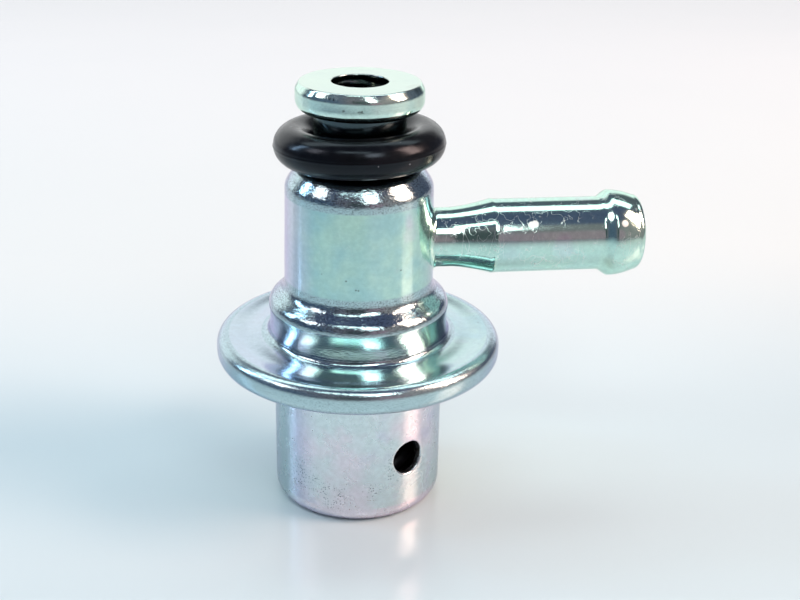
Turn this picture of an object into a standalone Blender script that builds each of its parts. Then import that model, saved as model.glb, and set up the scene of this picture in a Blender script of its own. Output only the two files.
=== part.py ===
"""Fuel pressure regulator: a spring loaded diaphragm valve in a crimped steel housing.

It stands on its spring cup. Origin at the centre of the cup's underside, +Z up the
axis to the o-ring fitting, +X along the hose nipple. Lengths in metres.
"""

import math

import bmesh
import bpy
from mathutils import Matrix, Vector

# Clearances
FIT_GAP = 0.0001
SEAT_CLEARANCE = 0.0003
SWIVEL_GAP = 0.00015

# Spring cup, a drawn sheet with a flat flange
CUP_SHEET = 0.0007
CUP_RADIUS = 0.00928
CUP_HEIGHT = 0.01725
CUP_CORNER = 0.0015
CUP_FLANGE_BEND = 0.0009
VENT_RADIUS = 0.0019
VENT_HEIGHT = 0.0073
VENT_ANGLE = math.radians(-59.0)

# Diaphragm
DIAPHRAGM_SHEET = 0.0004
ROLL_RADIUS = 0.001
ROLL_SWEEP = math.radians(60.0)
ROLL_OUTER_RADIUS = 0.0087

# Upper body, a drawn sheet whose rim is rolled over the cup's flange
BODY_SHEET = 0.0007
RIM_RADIUS = 0.0155
RIM_BEND = 0.00115
LIP_LENGTH = 0.00145
DISH_DIP = 0.00015
STEP_RADIUS = 0.00975
STEP_FOOT_BEND = 0.0007
STEP_HEIGHT = 0.0033
FLARE_ANGLE = math.radians(50.0)
FLARE_TOP_BEND = 0.0014
FLARE_FOOT_BEND = 0.0015
CYLINDER_FOOT_RADIUS = 0.00805
CYLINDER_TOP_RADIUS = 0.00785
SHOULDER_BEND = 0.0019
BODY_HEIGHT = 0.01885

# Top fitting
BORE_RADIUS = 0.00295
PIPE_RADIUS = 0.004
NECK_RADIUS = 0.00482
NECK_LENGTH = 0.0057
COLLAR_RADIUS = 0.00668
COLLAR_THICKNESS = 0.003
COLLAR_EDGE = 0.0007

# O-ring, snug on the neck and slightly tilted, resting on the body's shoulder
O_RING_SECTION = 0.00205
O_RING_CLEARANCE = 0.00005
O_RING_TILT = math.radians(2.2)
O_RING_HIGH_SIDE = math.radians(-53.0)

# Hose nipple, distances from the body's axis
NIPPLE_RISE = 0.01045
NIPPLE_BORE = 0.0024
SPIGOT_RADIUS = 0.0028
ROOT_RADIUS = 0.0032
STEM_RADIUS = 0.004
BEAD_RADIUS = 0.0047
END_RADIUS = 0.00375
TAPER_LENGTH = 0.0031
STEM_START = 0.0141
STEM_LENGTH = 0.0115
BEAD_RISE = 0.0019
BEAD_FALL = 0.0024
END_BEND = 0.0007
# Shares of the bead's rise and fall: how far its crest and foot are rounded, and how deep
CREST_SHARE = 0.25
CREST_FALL_SAG = 0.06
CREST_RISE_SAG = 0.08
BEAD_FOOT_SHARE = 0.3
BEAD_FOOT_SAG = 0.05
# The stem swells by this share of the bead's height where it meets the taper
STEM_SWELL_SHARE = 0.1
# The taper's hollow curve: share of its length back from the stem, share of its swell left
TAPER_CURVE = ((0.15, 0.85), (0.5, 0.35), (1.0, 0.08))

# Valve seat ring, pressed into the pipe
SEAT_BORE = 0.0019
SEAT_LIP_RADIUS = 0.0026
SEAT_LIP_HEIGHT = 0.0004
SEAT_FLANGE_RADIUS = 0.0037
SEAT_FLANGE_THICKNESS = 0.001
SEAT_SHANK_LENGTH = 0.004

# Valve holder, the upper diaphragm plate
HOLDER_PLATE_RADIUS = 0.0062
HOLDER_PLATE_THICKNESS = 0.0007
HOLDER_RIM_WALL = 0.0006
SHANK_RADIUS = 0.0021
RIVET_OVERHANG = 0.0005
RIVET_THICKNESS = 0.0006
SPRING_HOLE_RADIUS = 0.0011
SPRING_HOLE_FLOOR = 0.0006

# Ball, valve disc and retainer
BALL_RADIUS = 0.0015
BALL_PROTRUSION = 0.0009
DISC_LAND_RADIUS = 0.003
DISC_FLANGE_WIDTH = 0.00055
DISC_FLANGE_THICKNESS = 0.00045
DISC_LAND_HEIGHT = 0.0011
RETAINER_THICKNESS = 0.00035
RETAINER_WIDTH = 0.00085
# Play between the disc's flange and the retainer, which sets how far the disc can tilt
RETAINER_GAP = 0.0002
BALL_SPRING_WIRE = 0.00015
BALL_SPRING_TURNS = 4
BALL_SPRING_END_TURNS = 1.0

# Spring plate and main spring
SPRING_PLATE_SHEET = 0.0008
SPRING_PLATE_EDGE = 0.0002
SPRING_RADIUS = 0.0056
SPRING_WIRE = 0.0008
SPRING_ACTIVE_TURNS = 3.5
SPRING_END_TURNS = 1.0
SPRING_COIL_GAP = 0.0001
SPRING_GRIND = 0.0006
SPRING_START_ANGLE = math.radians(103.0)

# Facets
OUTER_STEPS = 40
INNER_STEPS = 28
COIL_STEPS = 16
SMALL_COIL_STEPS = 12
BEND_STEPS = 3
BALL_RINGS = 10
WIRE_RESOLUTION = 2
MERGE_DISTANCE = 0.000001
SHARP_ANGLE = math.radians(35.0)

# Heights that follow from the sizes above
FLANGE_TOP = CUP_HEIGHT + CUP_SHEET
CLAMP_Z = FLANGE_TOP + FIT_GAP
DISH_Z = CLAMP_Z + DIAPHRAGM_SHEET + FIT_GAP + DISH_DIP + BODY_SHEET
BODY_TOP_Z = DISH_Z + BODY_HEIGHT
NIPPLE_Z = DISH_Z + NIPPLE_RISE
ROLL_DROP = 2.0 * ROLL_RADIUS * (1.0 - math.cos(ROLL_SWEEP))
HUB_Z = CLAMP_Z - ROLL_DROP
HOLDER_Z = HUB_Z + DIAPHRAGM_SHEET + FIT_GAP
SPRING_PLATE_Z = HUB_Z - FIT_GAP - SPRING_PLATE_SHEET
SHANK_END_Z = SPRING_PLATE_Z - FIT_GAP - RIVET_THICKNESS
DISC_FLANGE_RADIUS = DISC_LAND_RADIUS + DISC_FLANGE_WIDTH
POCKET_RADIUS = DISC_FLANGE_RADIUS + SWIVEL_GAP
RECESS_RADIUS = DISC_LAND_RADIUS + SWIVEL_GAP + RETAINER_WIDTH + FIT_GAP
HOLDER_RIM_RADIUS = RECESS_RADIUS + HOLDER_RIM_WALL
BALL_SEAT_DEPTH = 2.0 * BALL_RADIUS - BALL_PROTRUSION
BALL_HOLE_RADIUS = BALL_RADIUS + FIT_GAP
BALL_BOTTOM_Z = HOLDER_Z + BALL_RADIUS
BALL_Z = BALL_BOTTOM_Z + BALL_RADIUS
POCKET_Z = BALL_BOTTOM_Z + BALL_SEAT_DEPTH - BALL_RADIUS
DISC_Z = BALL_Z + BALL_RADIUS - BALL_PROTRUSION
RETAINER_Z = DISC_Z + DISC_FLANGE_THICKNESS + RETAINER_GAP
HOLDER_TOP_Z = RETAINER_Z + RETAINER_THICKNESS
DISC_TOP_Z = DISC_Z + DISC_FLANGE_THICKNESS + DISC_LAND_HEIGHT
SEAT_Z = DISC_TOP_Z + SEAT_CLEARANCE
PIPE_END_Z = SEAT_Z + SEAT_LIP_HEIGHT + SEAT_FLANGE_THICKNESS + FIT_GAP


def remove_old_objects():
    """Empty the scene that the script is run in."""
    for old_object in list(bpy.data.objects):
        bpy.data.objects.remove(old_object, do_unlink=True)


def new_collection(name):
    collection = bpy.data.collections.new(name)
    bpy.context.scene.collection.children.link(collection)
    return collection


def new_material(name, colour, roughness, metallic):
    material = bpy.data.materials.new(name)
    material.use_nodes = True
    shader = material.node_tree.nodes["Principled BSDF"]
    shader.inputs["Base Color"].default_value = (*colour, 1.0)
    shader.inputs["Roughness"].default_value = roughness
    shader.inputs["Metallic"].default_value = metallic
    material.diffuse_color = (*colour, 1.0)
    return material


def zinc_plate():
    return new_material("zinc_plate", (0.55, 0.68, 0.68), 0.22, 1.0)


def turned_steel():
    return new_material("turned_zinc_plate", (0.58, 0.66, 0.70), 0.20, 1.0)


def cup_steel():
    return new_material("cup_zinc_plate", (0.62, 0.58, 0.64), 0.24, 1.0)


def black_rubber():
    return new_material("black_rubber", (0.012, 0.013, 0.016), 0.35, 0.0)


def diaphragm_rubber():
    return new_material("diaphragm_rubber", (0.035, 0.03, 0.028), 0.7, 0.0)


def spring_steel():
    return new_material("spring_steel", (0.42, 0.43, 0.45), 0.3, 1.0)


def hard_steel():
    return new_material("stainless_steel", (0.6, 0.6, 0.6), 0.18, 1.0)


def arc(centre, radius, start, end, steps):
    """Points of an arc in the (r, z) plane, both ends included, angles in degrees."""
    points = []
    for index in range(steps + 1):
        angle = math.radians(start + (end - start) * index / steps)
        points.append((centre[0] + radius * math.cos(angle), centre[1] + radius * math.sin(angle)))
    return points


def without_repeats(points):
    """The same points with those that repeat their forerunner left out."""
    kept = [points[0]]
    for point in points[1:]:
        if math.dist(point, kept[-1]) > MERGE_DISTANCE / 10.0:
            kept.append(point)
    return kept


def offset_side(path, thickness):
    """The path moved by thickness to its right hand, with mitred corners."""
    moved = []
    for index, point in enumerate(path):
        before = Vector(path[max(index - 1, 0)])
        after = Vector(path[min(index + 1, len(path) - 1)])
        here = Vector(point)
        first = (here - before).normalized() if index > 0 else (after - here).normalized()
        second = (after - here).normalized() if index < len(path) - 1 else first
        first_normal = Vector((first.y, -first.x))
        second_normal = Vector((second.y, -second.x))
        bisector = (first_normal + second_normal).normalized()
        reach = thickness / bisector.dot(first_normal)
        moved.append(tuple(here + bisector * reach))
    return moved


def sheet_outline(path, thickness):
    """Closed section of a pressed sheet from the path of its outer side."""
    outer = without_repeats(path)
    return outer + list(reversed(offset_side(outer, thickness)))


def turned(name, outline, material, collection, steps, closed=True):
    """A turned solid: the (r, z) outline swept round Z. Outlines run clockwise."""
    points = without_repeats(outline)
    edges = [(index, index + 1) for index in range(len(points) - 1)]
    if closed:
        edges.append((len(points) - 1, 0))
    mesh = bpy.data.meshes.new(name)
    mesh.from_pydata([(radius, 0.0, height) for radius, height in points], edges, [])
    solid = bpy.data.objects.new(name, mesh)
    collection.objects.link(solid)
    screw = solid.modifiers.new("turn", "SCREW")
    screw.axis = "Z"
    screw.steps = steps
    screw.render_steps = steps
    screw.use_merge_vertices = True
    screw.merge_threshold = MERGE_DISTANCE
    mesh.materials.append(material)
    return solid


def smooth(solid):
    """Bake the modifiers' result and shade it smooth with sharp edges kept."""
    graph = bpy.context.evaluated_depsgraph_get()
    mesh = bpy.data.meshes.new_from_object(solid.evaluated_get(graph))
    mesh.name = solid.name
    solid.modifiers.clear()
    solid.data = mesh
    mesh.shade_smooth()
    mesh.set_sharp_from_angle(angle=SHARP_ANGLE)
    return solid


def cylinder_cutter(name, collection, radius, length, centre, direction, steps):
    """A hidden cylinder that runs along direction, centred on centre."""
    mesh = bpy.data.meshes.new(name)
    shape = bmesh.new()
    bmesh.ops.create_cone(
        shape, cap_ends=True, segments=steps, radius1=radius, radius2=radius, depth=length)
    shape.to_mesh(mesh)
    shape.free()
    return place_cutter(name, mesh, collection, centre, direction)


def place_cutter(name, mesh, collection, centre, direction):
    cutter = bpy.data.objects.new(name, mesh)
    turn = Vector(direction).to_track_quat("Z", "Y").to_matrix().to_4x4()
    cutter.matrix_world = Matrix.Translation(centre) @ turn
    cutter.hide_render = True
    cutter.display_type = "WIRE"
    collection.objects.link(cutter)
    return cutter


def boolean(solid, tool, operation):
    modifier = solid.modifiers.new(operation.lower(), "BOOLEAN")
    modifier.operation = operation
    modifier.solver = "EXACT"
    modifier.object = tool


def upper_body_path():
    """Outer side of the pressed body, from its top hole out, down and round the rim."""
    shoulder = (CYLINDER_TOP_RADIUS - SHOULDER_BEND, BODY_TOP_Z - SHOULDER_BEND)
    flare_turn = math.degrees(FLARE_ANGLE)
    top_reach = FLARE_TOP_BEND * (1.0 - math.cos(FLARE_ANGLE))
    foot_reach = FLARE_FOOT_BEND * (1.0 - math.cos(FLARE_ANGLE))
    straight_reach = STEP_RADIUS - CYLINDER_FOOT_RADIUS - top_reach - foot_reach
    step_top = DISH_Z + STEP_HEIGHT
    flare_foot_z = step_top + FLARE_FOOT_BEND * math.sin(FLARE_ANGLE)
    flare_top_z = flare_foot_z + straight_reach / math.tan(FLARE_ANGLE)
    cylinder_foot = flare_top_z + FLARE_TOP_BEND * math.sin(FLARE_ANGLE)
    flare_top = (CYLINDER_FOOT_RADIUS + FLARE_TOP_BEND, cylinder_foot)
    flare_foot = (STEP_RADIUS - FLARE_FOOT_BEND, step_top)
    step_foot = (STEP_RADIUS + STEP_FOOT_BEND, DISH_Z + STEP_FOOT_BEND)
    rim_top = (RIM_RADIUS - RIM_BEND, DISH_Z - RIM_BEND)
    lip_z = CUP_HEIGHT - FIT_GAP - BODY_SHEET
    rim_foot = (RIM_RADIUS - RIM_BEND, lip_z + RIM_BEND)
    path = [(PIPE_RADIUS + FIT_GAP, BODY_TOP_Z)]
    path += arc(shoulder, SHOULDER_BEND, 90.0, 0.0, BEND_STEPS + 1)
    path += arc(flare_top, FLARE_TOP_BEND, 180.0, 180.0 + flare_turn, BEND_STEPS)
    path += arc(flare_foot, FLARE_FOOT_BEND, flare_turn, 0.0, BEND_STEPS)
    path += arc(step_foot, STEP_FOOT_BEND, 180.0, 270.0, BEND_STEPS)
    path.append(((step_foot[0] + rim_top[0]) / 2.0, DISH_Z - DISH_DIP))
    path += arc(rim_top, RIM_BEND, 90.0, 0.0, BEND_STEPS)
    path += arc(rim_foot, RIM_BEND, 0.0, -90.0, BEND_STEPS)
    path.append((rim_foot[0] - LIP_LENGTH, lip_z))
    return path


def wall_radius(height):
    """Outer radius of the drawn cylinder at a height, with its slight draft."""
    foot = DISH_Z + STEP_HEIGHT
    top = BODY_TOP_Z - SHOULDER_BEND
    share = (height - foot) / (top - foot)
    return CYLINDER_FOOT_RADIUS + (CYLINDER_TOP_RADIUS - CYLINDER_FOOT_RADIUS) * share


def make_upper_body(parts, cutters):
    outline = sheet_outline(upper_body_path(), BODY_SHEET)
    body = turned("upper_body", outline, zinc_plate(), parts, OUTER_STEPS)
    hole = cylinder_cutter(
        "nipple_hole", cutters, SPIGOT_RADIUS + FIT_GAP, wall_radius(NIPPLE_Z),
        (wall_radius(NIPPLE_Z), 0.0, NIPPLE_Z), (1.0, 0.0, 0.0), INNER_STEPS)
    boolean(body, hole, "DIFFERENCE")
    return smooth(body)


def make_spring_cup(parts, cutters):
    bend = (CUP_RADIUS + CUP_FLANGE_BEND, CUP_HEIGHT - CUP_FLANGE_BEND)
    corner = (CUP_RADIUS - CUP_CORNER, CUP_CORNER)
    flange_radius = RIM_RADIUS - BODY_SHEET - FIT_GAP - (RIM_BEND - BODY_SHEET)
    path = [(flange_radius, CUP_HEIGHT)]
    path += arc(bend, CUP_FLANGE_BEND, 90.0, 180.0, BEND_STEPS)
    path += arc(corner, CUP_CORNER, 0.0, -90.0, BEND_STEPS + 1)
    outer = without_repeats(path)
    inner = offset_side(outer, CUP_SHEET)
    outline = [(0.0, CUP_SHEET)] + list(reversed(inner)) + outer + [(0.0, 0.0)]
    cup = turned("spring_cup", outline, cup_steel(), parts, OUTER_STEPS, closed=False)
    outward = Vector((math.cos(VENT_ANGLE), math.sin(VENT_ANGLE), 0.0))
    centre = outward * CUP_RADIUS + Vector((0.0, 0.0, VENT_HEIGHT))
    vent = cylinder_cutter(
        "vent_hole", cutters, VENT_RADIUS, CUP_RADIUS, centre, outward, INNER_STEPS)
    boolean(cup, vent, "DIFFERENCE")
    return smooth(cup)


def make_top_fitting(parts):
    collar_foot = BODY_TOP_Z + FIT_GAP + NECK_LENGTH
    collar_top = collar_foot + COLLAR_THICKNESS
    edge_radius = COLLAR_RADIUS - COLLAR_EDGE
    outline = [(BORE_RADIUS, collar_top)]
    outline += arc((edge_radius, collar_top - COLLAR_EDGE), COLLAR_EDGE, 90.0, 0.0, BEND_STEPS)
    outline += arc((edge_radius, collar_foot + COLLAR_EDGE), COLLAR_EDGE, 0.0, -90.0, BEND_STEPS)
    outline += [
        (NECK_RADIUS, collar_foot),
        (NECK_RADIUS, BODY_TOP_Z + FIT_GAP),
        (PIPE_RADIUS, BODY_TOP_Z + FIT_GAP),
        (PIPE_RADIUS, PIPE_END_Z),
        (BORE_RADIUS, PIPE_END_Z),
    ]
    return smooth(turned("top_fitting", outline, turned_steel(), parts, OUTER_STEPS))


def make_o_ring(parts):
    ring_radius = NECK_RADIUS + O_RING_CLEARANCE + O_RING_SECTION
    rest = SHOULDER_BEND + FIT_GAP + O_RING_SECTION
    overhang = max(ring_radius - (CYLINDER_TOP_RADIUS - SHOULDER_BEND), 0.0)
    lift = math.sqrt(rest ** 2 - overhang ** 2) - SHOULDER_BEND + ring_radius * math.sin(O_RING_TILT)
    outline = arc((ring_radius, 0.0), O_RING_SECTION, 90.0, -270.0, 4 * BEND_STEPS)[:-1]
    ring = turned("o_ring", outline, black_rubber(), parts, OUTER_STEPS)
    smooth(ring)
    ring.location = (0.0, 0.0, BODY_TOP_Z + lift)
    ring.rotation_euler = (0.0, -O_RING_TILT, O_RING_HIGH_SIDE)
    return ring


def nipple_outline():
    """Outer side of the nipple, from its tip back to its root, as (radius, distance)."""
    stem_end = STEM_START + STEM_LENGTH
    crest = stem_end + BEAD_RISE
    cone_end = crest + BEAD_FALL
    bulge = STEM_RADIUS + (BEAD_RADIUS - STEM_RADIUS) * STEM_SWELL_SHARE
    root = CYLINDER_TOP_RADIUS - BODY_SHEET
    swell = STEM_RADIUS - ROOT_RADIUS
    outline = [(0.0, cone_end + END_BEND)]
    outline += arc((END_RADIUS - END_BEND, cone_end), END_BEND, 90.0, 0.0, BEND_STEPS)
    outline += [
        (BEAD_RADIUS - CREST_FALL_SAG * BEAD_FALL, crest + CREST_SHARE * BEAD_FALL),
        (BEAD_RADIUS, crest),
        (BEAD_RADIUS - CREST_RISE_SAG * BEAD_RISE, crest - CREST_SHARE * BEAD_RISE),
        (STEM_RADIUS + BEAD_FOOT_SAG * BEAD_RISE, stem_end + BEAD_FOOT_SHARE * BEAD_RISE),
        (STEM_RADIUS, stem_end),
        (STEM_RADIUS, STEM_START + STEM_SWELL_SHARE * TAPER_LENGTH),
        (bulge, STEM_START),
    ]
    for back, left in TAPER_CURVE:
        outline.append((ROOT_RADIUS + left * swell, STEM_START - back * TAPER_LENGTH))
    return outline + [(ROOT_RADIUS, root), (0.0, root)]


def make_hose_nipple(parts, cutters):
    tip = STEM_START + STEM_LENGTH + BEAD_RISE + BEAD_FALL + END_BEND
    nipple = turned("hose_nipple", nipple_outline(), turned_steel(), parts, INNER_STEPS, closed=False)
    smooth(nipple)
    lay_down = Matrix.Rotation(math.radians(90.0), 4, "Y")
    nipple.data.transform(Matrix.Translation((0.0, 0.0, NIPPLE_Z)) @ lay_down)
    saddle_mesh = bpy.data.meshes.new("nipple_saddle")
    saddle_shape = bmesh.new()
    half = 2.0 * ROOT_RADIUS
    bmesh.ops.create_cone(
        saddle_shape, cap_ends=True, segments=OUTER_STEPS, depth=2.0 * half,
        radius1=wall_radius(NIPPLE_Z - half) + FIT_GAP, radius2=wall_radius(NIPPLE_Z + half) + FIT_GAP)
    saddle_shape.to_mesh(saddle_mesh)
    saddle_shape.free()
    saddle = place_cutter("nipple_saddle", saddle_mesh, cutters, (0.0, 0.0, NIPPLE_Z), (0.0, 0.0, 1.0))
    root = CYLINDER_TOP_RADIUS - BODY_SHEET
    spigot_end = wall_radius(NIPPLE_Z) + TAPER_LENGTH / 2.0
    spigot = cylinder_cutter(
        "nipple_spigot", cutters, SPIGOT_RADIUS, spigot_end - root,
        ((spigot_end + root) / 2.0, 0.0, NIPPLE_Z), (1.0, 0.0, 0.0), INNER_STEPS)
    bore = cylinder_cutter(
        "nipple_bore", cutters, NIPPLE_BORE, 2.0 * tip,
        (tip, 0.0, NIPPLE_Z), (1.0, 0.0, 0.0), INNER_STEPS)
    boolean(nipple, saddle, "DIFFERENCE")
    boolean(nipple, spigot, "UNION")
    boolean(nipple, bore, "DIFFERENCE")
    return smooth(nipple)


def make_diaphragm(parts):
    """Rubber sheet: clamped rim, one rolled step down, flat hub with a hole."""
    sweep = math.degrees(ROLL_SWEEP)
    top = CLAMP_Z + DIAPHRAGM_SHEET
    half = DIAPHRAGM_SHEET / 2.0
    reach = ROLL_RADIUS * math.sin(ROLL_SWEEP)
    middle = CLAMP_Z + half
    outer_centre = (ROLL_OUTER_RADIUS, middle - ROLL_RADIUS)
    inner_centre = (ROLL_OUTER_RADIUS - 2.0 * reach, middle - ROLL_DROP + ROLL_RADIUS)
    rim_radius = RIM_RADIUS - RIM_BEND - FIT_GAP
    upper = [(rim_radius, top)]
    upper += arc(outer_centre, ROLL_RADIUS + half, 90.0, 90.0 + sweep, BEND_STEPS)
    upper += arc(inner_centre, ROLL_RADIUS - half, 270.0 + sweep, 270.0, BEND_STEPS)
    upper.append((SHANK_RADIUS + FIT_GAP, HUB_Z + DIAPHRAGM_SHEET))
    lower = [(SHANK_RADIUS + FIT_GAP, HUB_Z)]
    lower += arc(inner_centre, ROLL_RADIUS + half, 270.0, 270.0 + sweep, BEND_STEPS)
    lower += arc(outer_centre, ROLL_RADIUS - half, 90.0 + sweep, 90.0, BEND_STEPS)
    lower.append((rim_radius, CLAMP_Z))
    outline = list(reversed(lower + upper))
    return smooth(turned("diaphragm", outline, diaphragm_rubber(), parts, OUTER_STEPS))


def make_valve_holder(parts):
    """Plate with a cup for ball and disc on top and a hollow rivet shank below."""
    plate_top = HOLDER_Z + HOLDER_PLATE_THICKNESS
    spring_floor = SHANK_END_Z + SPRING_HOLE_FLOOR
    rivet_radius = SHANK_RADIUS + RIVET_OVERHANG
    ledge_z = RETAINER_Z - FIT_GAP
    outline = [
        (0.0, spring_floor),
        (SPRING_HOLE_RADIUS, spring_floor),
        (SPRING_HOLE_RADIUS, BALL_BOTTOM_Z - FIT_GAP),
        (BALL_HOLE_RADIUS, BALL_BOTTOM_Z + BALL_HOLE_RADIUS - SPRING_HOLE_RADIUS),
        (BALL_HOLE_RADIUS, POCKET_Z),
        (POCKET_RADIUS, POCKET_Z),
        (POCKET_RADIUS, ledge_z),
        (RECESS_RADIUS, ledge_z),
        (RECESS_RADIUS, HOLDER_TOP_Z),
        (HOLDER_RIM_RADIUS, HOLDER_TOP_Z),
        (HOLDER_RIM_RADIUS, plate_top),
        (HOLDER_PLATE_RADIUS, plate_top),
        (HOLDER_PLATE_RADIUS, HOLDER_Z),
        (SHANK_RADIUS, HOLDER_Z),
        (SHANK_RADIUS, SHANK_END_Z + RIVET_THICKNESS),
        (rivet_radius, SHANK_END_Z + RIVET_THICKNESS),
        (rivet_radius, SHANK_END_Z),
        (0.0, SHANK_END_Z),
    ]
    return smooth(turned("valve_holder", outline, turned_steel(), parts, INNER_STEPS, closed=False))


def make_valve_ball(parts):
    mesh = bpy.data.meshes.new("valve_ball")
    shape = bmesh.new()
    bmesh.ops.create_uvsphere(
        shape, u_segments=INNER_STEPS // 2, v_segments=BALL_RINGS, radius=BALL_RADIUS)
    shape.to_mesh(mesh)
    shape.free()
    ball = bpy.data.objects.new("valve_ball", mesh)
    ball.location = (0.0, 0.0, BALL_Z)
    parts.objects.link(ball)
    mesh.materials.append(hard_steel())
    mesh.shade_smooth()
    return ball


def make_valve_plate(parts):
    """Flat disc with a round socket for the ball in its underside."""
    socket_radius = BALL_RADIUS + FIT_GAP
    mouth_angle = math.degrees(math.asin((DISC_Z - BALL_Z) / socket_radius))
    socket = arc((0.0, 0.0), socket_radius, mouth_angle, 90.0, BEND_STEPS + 1)
    flange_top = DISC_Z + DISC_FLANGE_THICKNESS - BALL_Z
    land_top = DISC_TOP_Z - BALL_Z
    outline = [
        (0.0, land_top),
        (DISC_LAND_RADIUS, land_top),
        (DISC_LAND_RADIUS, flange_top),
        (DISC_FLANGE_RADIUS, flange_top),
        (DISC_FLANGE_RADIUS, DISC_Z - BALL_Z),
    ]
    outline += socket[:-1]
    outline.append((0.0, socket_radius))
    disc = turned("valve_plate", outline, hard_steel(), parts, INNER_STEPS, closed=False)
    smooth(disc)
    disc.location = (0.0, 0.0, BALL_Z)
    return disc


def make_valve_retainer(parts):
    inner = DISC_LAND_RADIUS + SWIVEL_GAP
    outer = inner + RETAINER_WIDTH
    outline = [
        (inner, HOLDER_TOP_Z),
        (outer, HOLDER_TOP_Z),
        (outer, RETAINER_Z),
        (inner, RETAINER_Z),
    ]
    return smooth(turned("valve_retainer", outline, hard_steel(), parts, INNER_STEPS))


def make_valve_seat(parts):
    """Seat ring: flat lip below, flange against the pipe's end, shank inside the pipe."""
    flange_z = SEAT_Z + SEAT_LIP_HEIGHT
    shank_top = PIPE_END_Z + SEAT_SHANK_LENGTH
    outline = [
        (SEAT_BORE, shank_top),
        (BORE_RADIUS - FIT_GAP, shank_top),
        (BORE_RADIUS - FIT_GAP, PIPE_END_Z - FIT_GAP),
        (SEAT_FLANGE_RADIUS, PIPE_END_Z - FIT_GAP),
        (SEAT_FLANGE_RADIUS, flange_z),
        (SEAT_LIP_RADIUS, flange_z),
        (SEAT_LIP_RADIUS, SEAT_Z),
        (SEAT_BORE, SEAT_Z),
    ]
    return smooth(turned("valve_seat", outline, hard_steel(), parts, INNER_STEPS))


def make_spring_plate(parts):
    """Pressed plate under the diaphragm, with a shallow collar that centres the spring."""
    plate_radius = SPRING_RADIUS + SPRING_WIRE + SPRING_PLATE_EDGE
    guide_radius = SPRING_RADIUS - SPRING_WIRE - FIT_GAP
    top = SPRING_PLATE_Z + SPRING_PLATE_SHEET
    guide_z = SPRING_PLATE_Z - SPRING_WIRE
    hole_radius = SHANK_RADIUS + FIT_GAP
    guide_inner = guide_radius - SPRING_PLATE_SHEET
    outline = [
        (hole_radius, top),
        (plate_radius, top),
        (plate_radius, SPRING_PLATE_Z),
        (guide_radius, SPRING_PLATE_Z),
        (guide_radius, guide_z),
        (guide_inner, guide_z),
        (guide_inner, SPRING_PLATE_Z),
        (hole_radius, SPRING_PLATE_Z),
    ]
    return smooth(turned("spring_plate", outline, zinc_plate(), parts, INNER_STEPS))


def coil_points(radius, foot, top, active_turns, end_turns, end_pitch, steps, start_angle=0.0):
    """Centre line of a compression spring with closed end turns."""
    rise = top - foot
    end_rise = end_pitch * end_turns
    total = active_turns + 2.0 * end_turns
    count = int(round(total * steps))
    points = []
    for index in range(count + 1):
        turn = total * index / count
        if turn < end_turns:
            height = end_pitch * turn
        elif turn > total - end_turns:
            height = rise - end_pitch * (total - turn)
        else:
            share = (turn - end_turns) / active_turns
            height = end_rise + (rise - 2.0 * end_rise) * share
        angle = start_angle + 2.0 * math.pi * turn
        points.append((radius * math.cos(angle), radius * math.sin(angle), foot + height))
    return points


def make_coil(name, points, wire, material, parts):
    """Round wire along the points, with filled ends, as one closed mesh."""
    curve = bpy.data.curves.new(name + "_line", "CURVE")
    curve.dimensions = "3D"
    spline = curve.splines.new("POLY")
    spline.points.add(len(points) - 1)
    for target, point in zip(spline.points, points):
        target.co = (*point, 1.0)
    curve.bevel_depth = wire
    curve.bevel_resolution = WIRE_RESOLUTION
    curve.use_fill_caps = True
    line = bpy.data.objects.new(name + "_line", curve)
    parts.objects.link(line)
    graph = bpy.context.evaluated_depsgraph_get()
    mesh = bpy.data.meshes.new_from_object(line.evaluated_get(graph))
    mesh.name = name
    shape = bmesh.new()
    shape.from_mesh(mesh)
    bmesh.ops.remove_doubles(shape, verts=shape.verts, dist=MERGE_DISTANCE)
    bmesh.ops.recalc_face_normals(shape, faces=shape.faces)
    shape.to_mesh(mesh)
    shape.free()
    mesh.materials.clear()
    mesh.materials.append(material)
    mesh.shade_smooth()
    coil = bpy.data.objects.new(name, mesh)
    coil.matrix_world = line.matrix_world
    parts.objects.link(coil)
    bpy.data.objects.remove(line, do_unlink=True)
    return coil


def grinding_cutter(name, cutters, height, above):
    """A hidden slab that grinds a spring's end flat at a height."""
    depth = 4.0 * SPRING_WIRE
    middle = height + depth / 2.0 if above else height - depth / 2.0
    radius = SPRING_RADIUS + 2.0 * SPRING_WIRE
    return cylinder_cutter(name, cutters, radius, depth, (0.0, 0.0, middle), (0.0, 0.0, 1.0), INNER_STEPS)


def make_main_spring(parts, cutters):
    """Compression spring with closed ends that are ground flat."""
    seat_z = CUP_SHEET + FIT_GAP
    head_z = SPRING_PLATE_Z - FIT_GAP
    foot = seat_z + SPRING_WIRE - SPRING_GRIND
    top = head_z - SPRING_WIRE + SPRING_GRIND
    pitch = 2.0 * SPRING_WIRE + SPRING_COIL_GAP
    points = coil_points(
        SPRING_RADIUS, foot, top, SPRING_ACTIVE_TURNS, SPRING_END_TURNS, pitch, COIL_STEPS,
        SPRING_START_ANGLE)
    spring = make_coil("main_spring", points, SPRING_WIRE, spring_steel(), parts)
    boolean(spring, grinding_cutter("spring_foot_grind", cutters, seat_z, False), "DIFFERENCE")
    boolean(spring, grinding_cutter("spring_head_grind", cutters, head_z, True), "DIFFERENCE")
    return smooth(spring)


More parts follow.
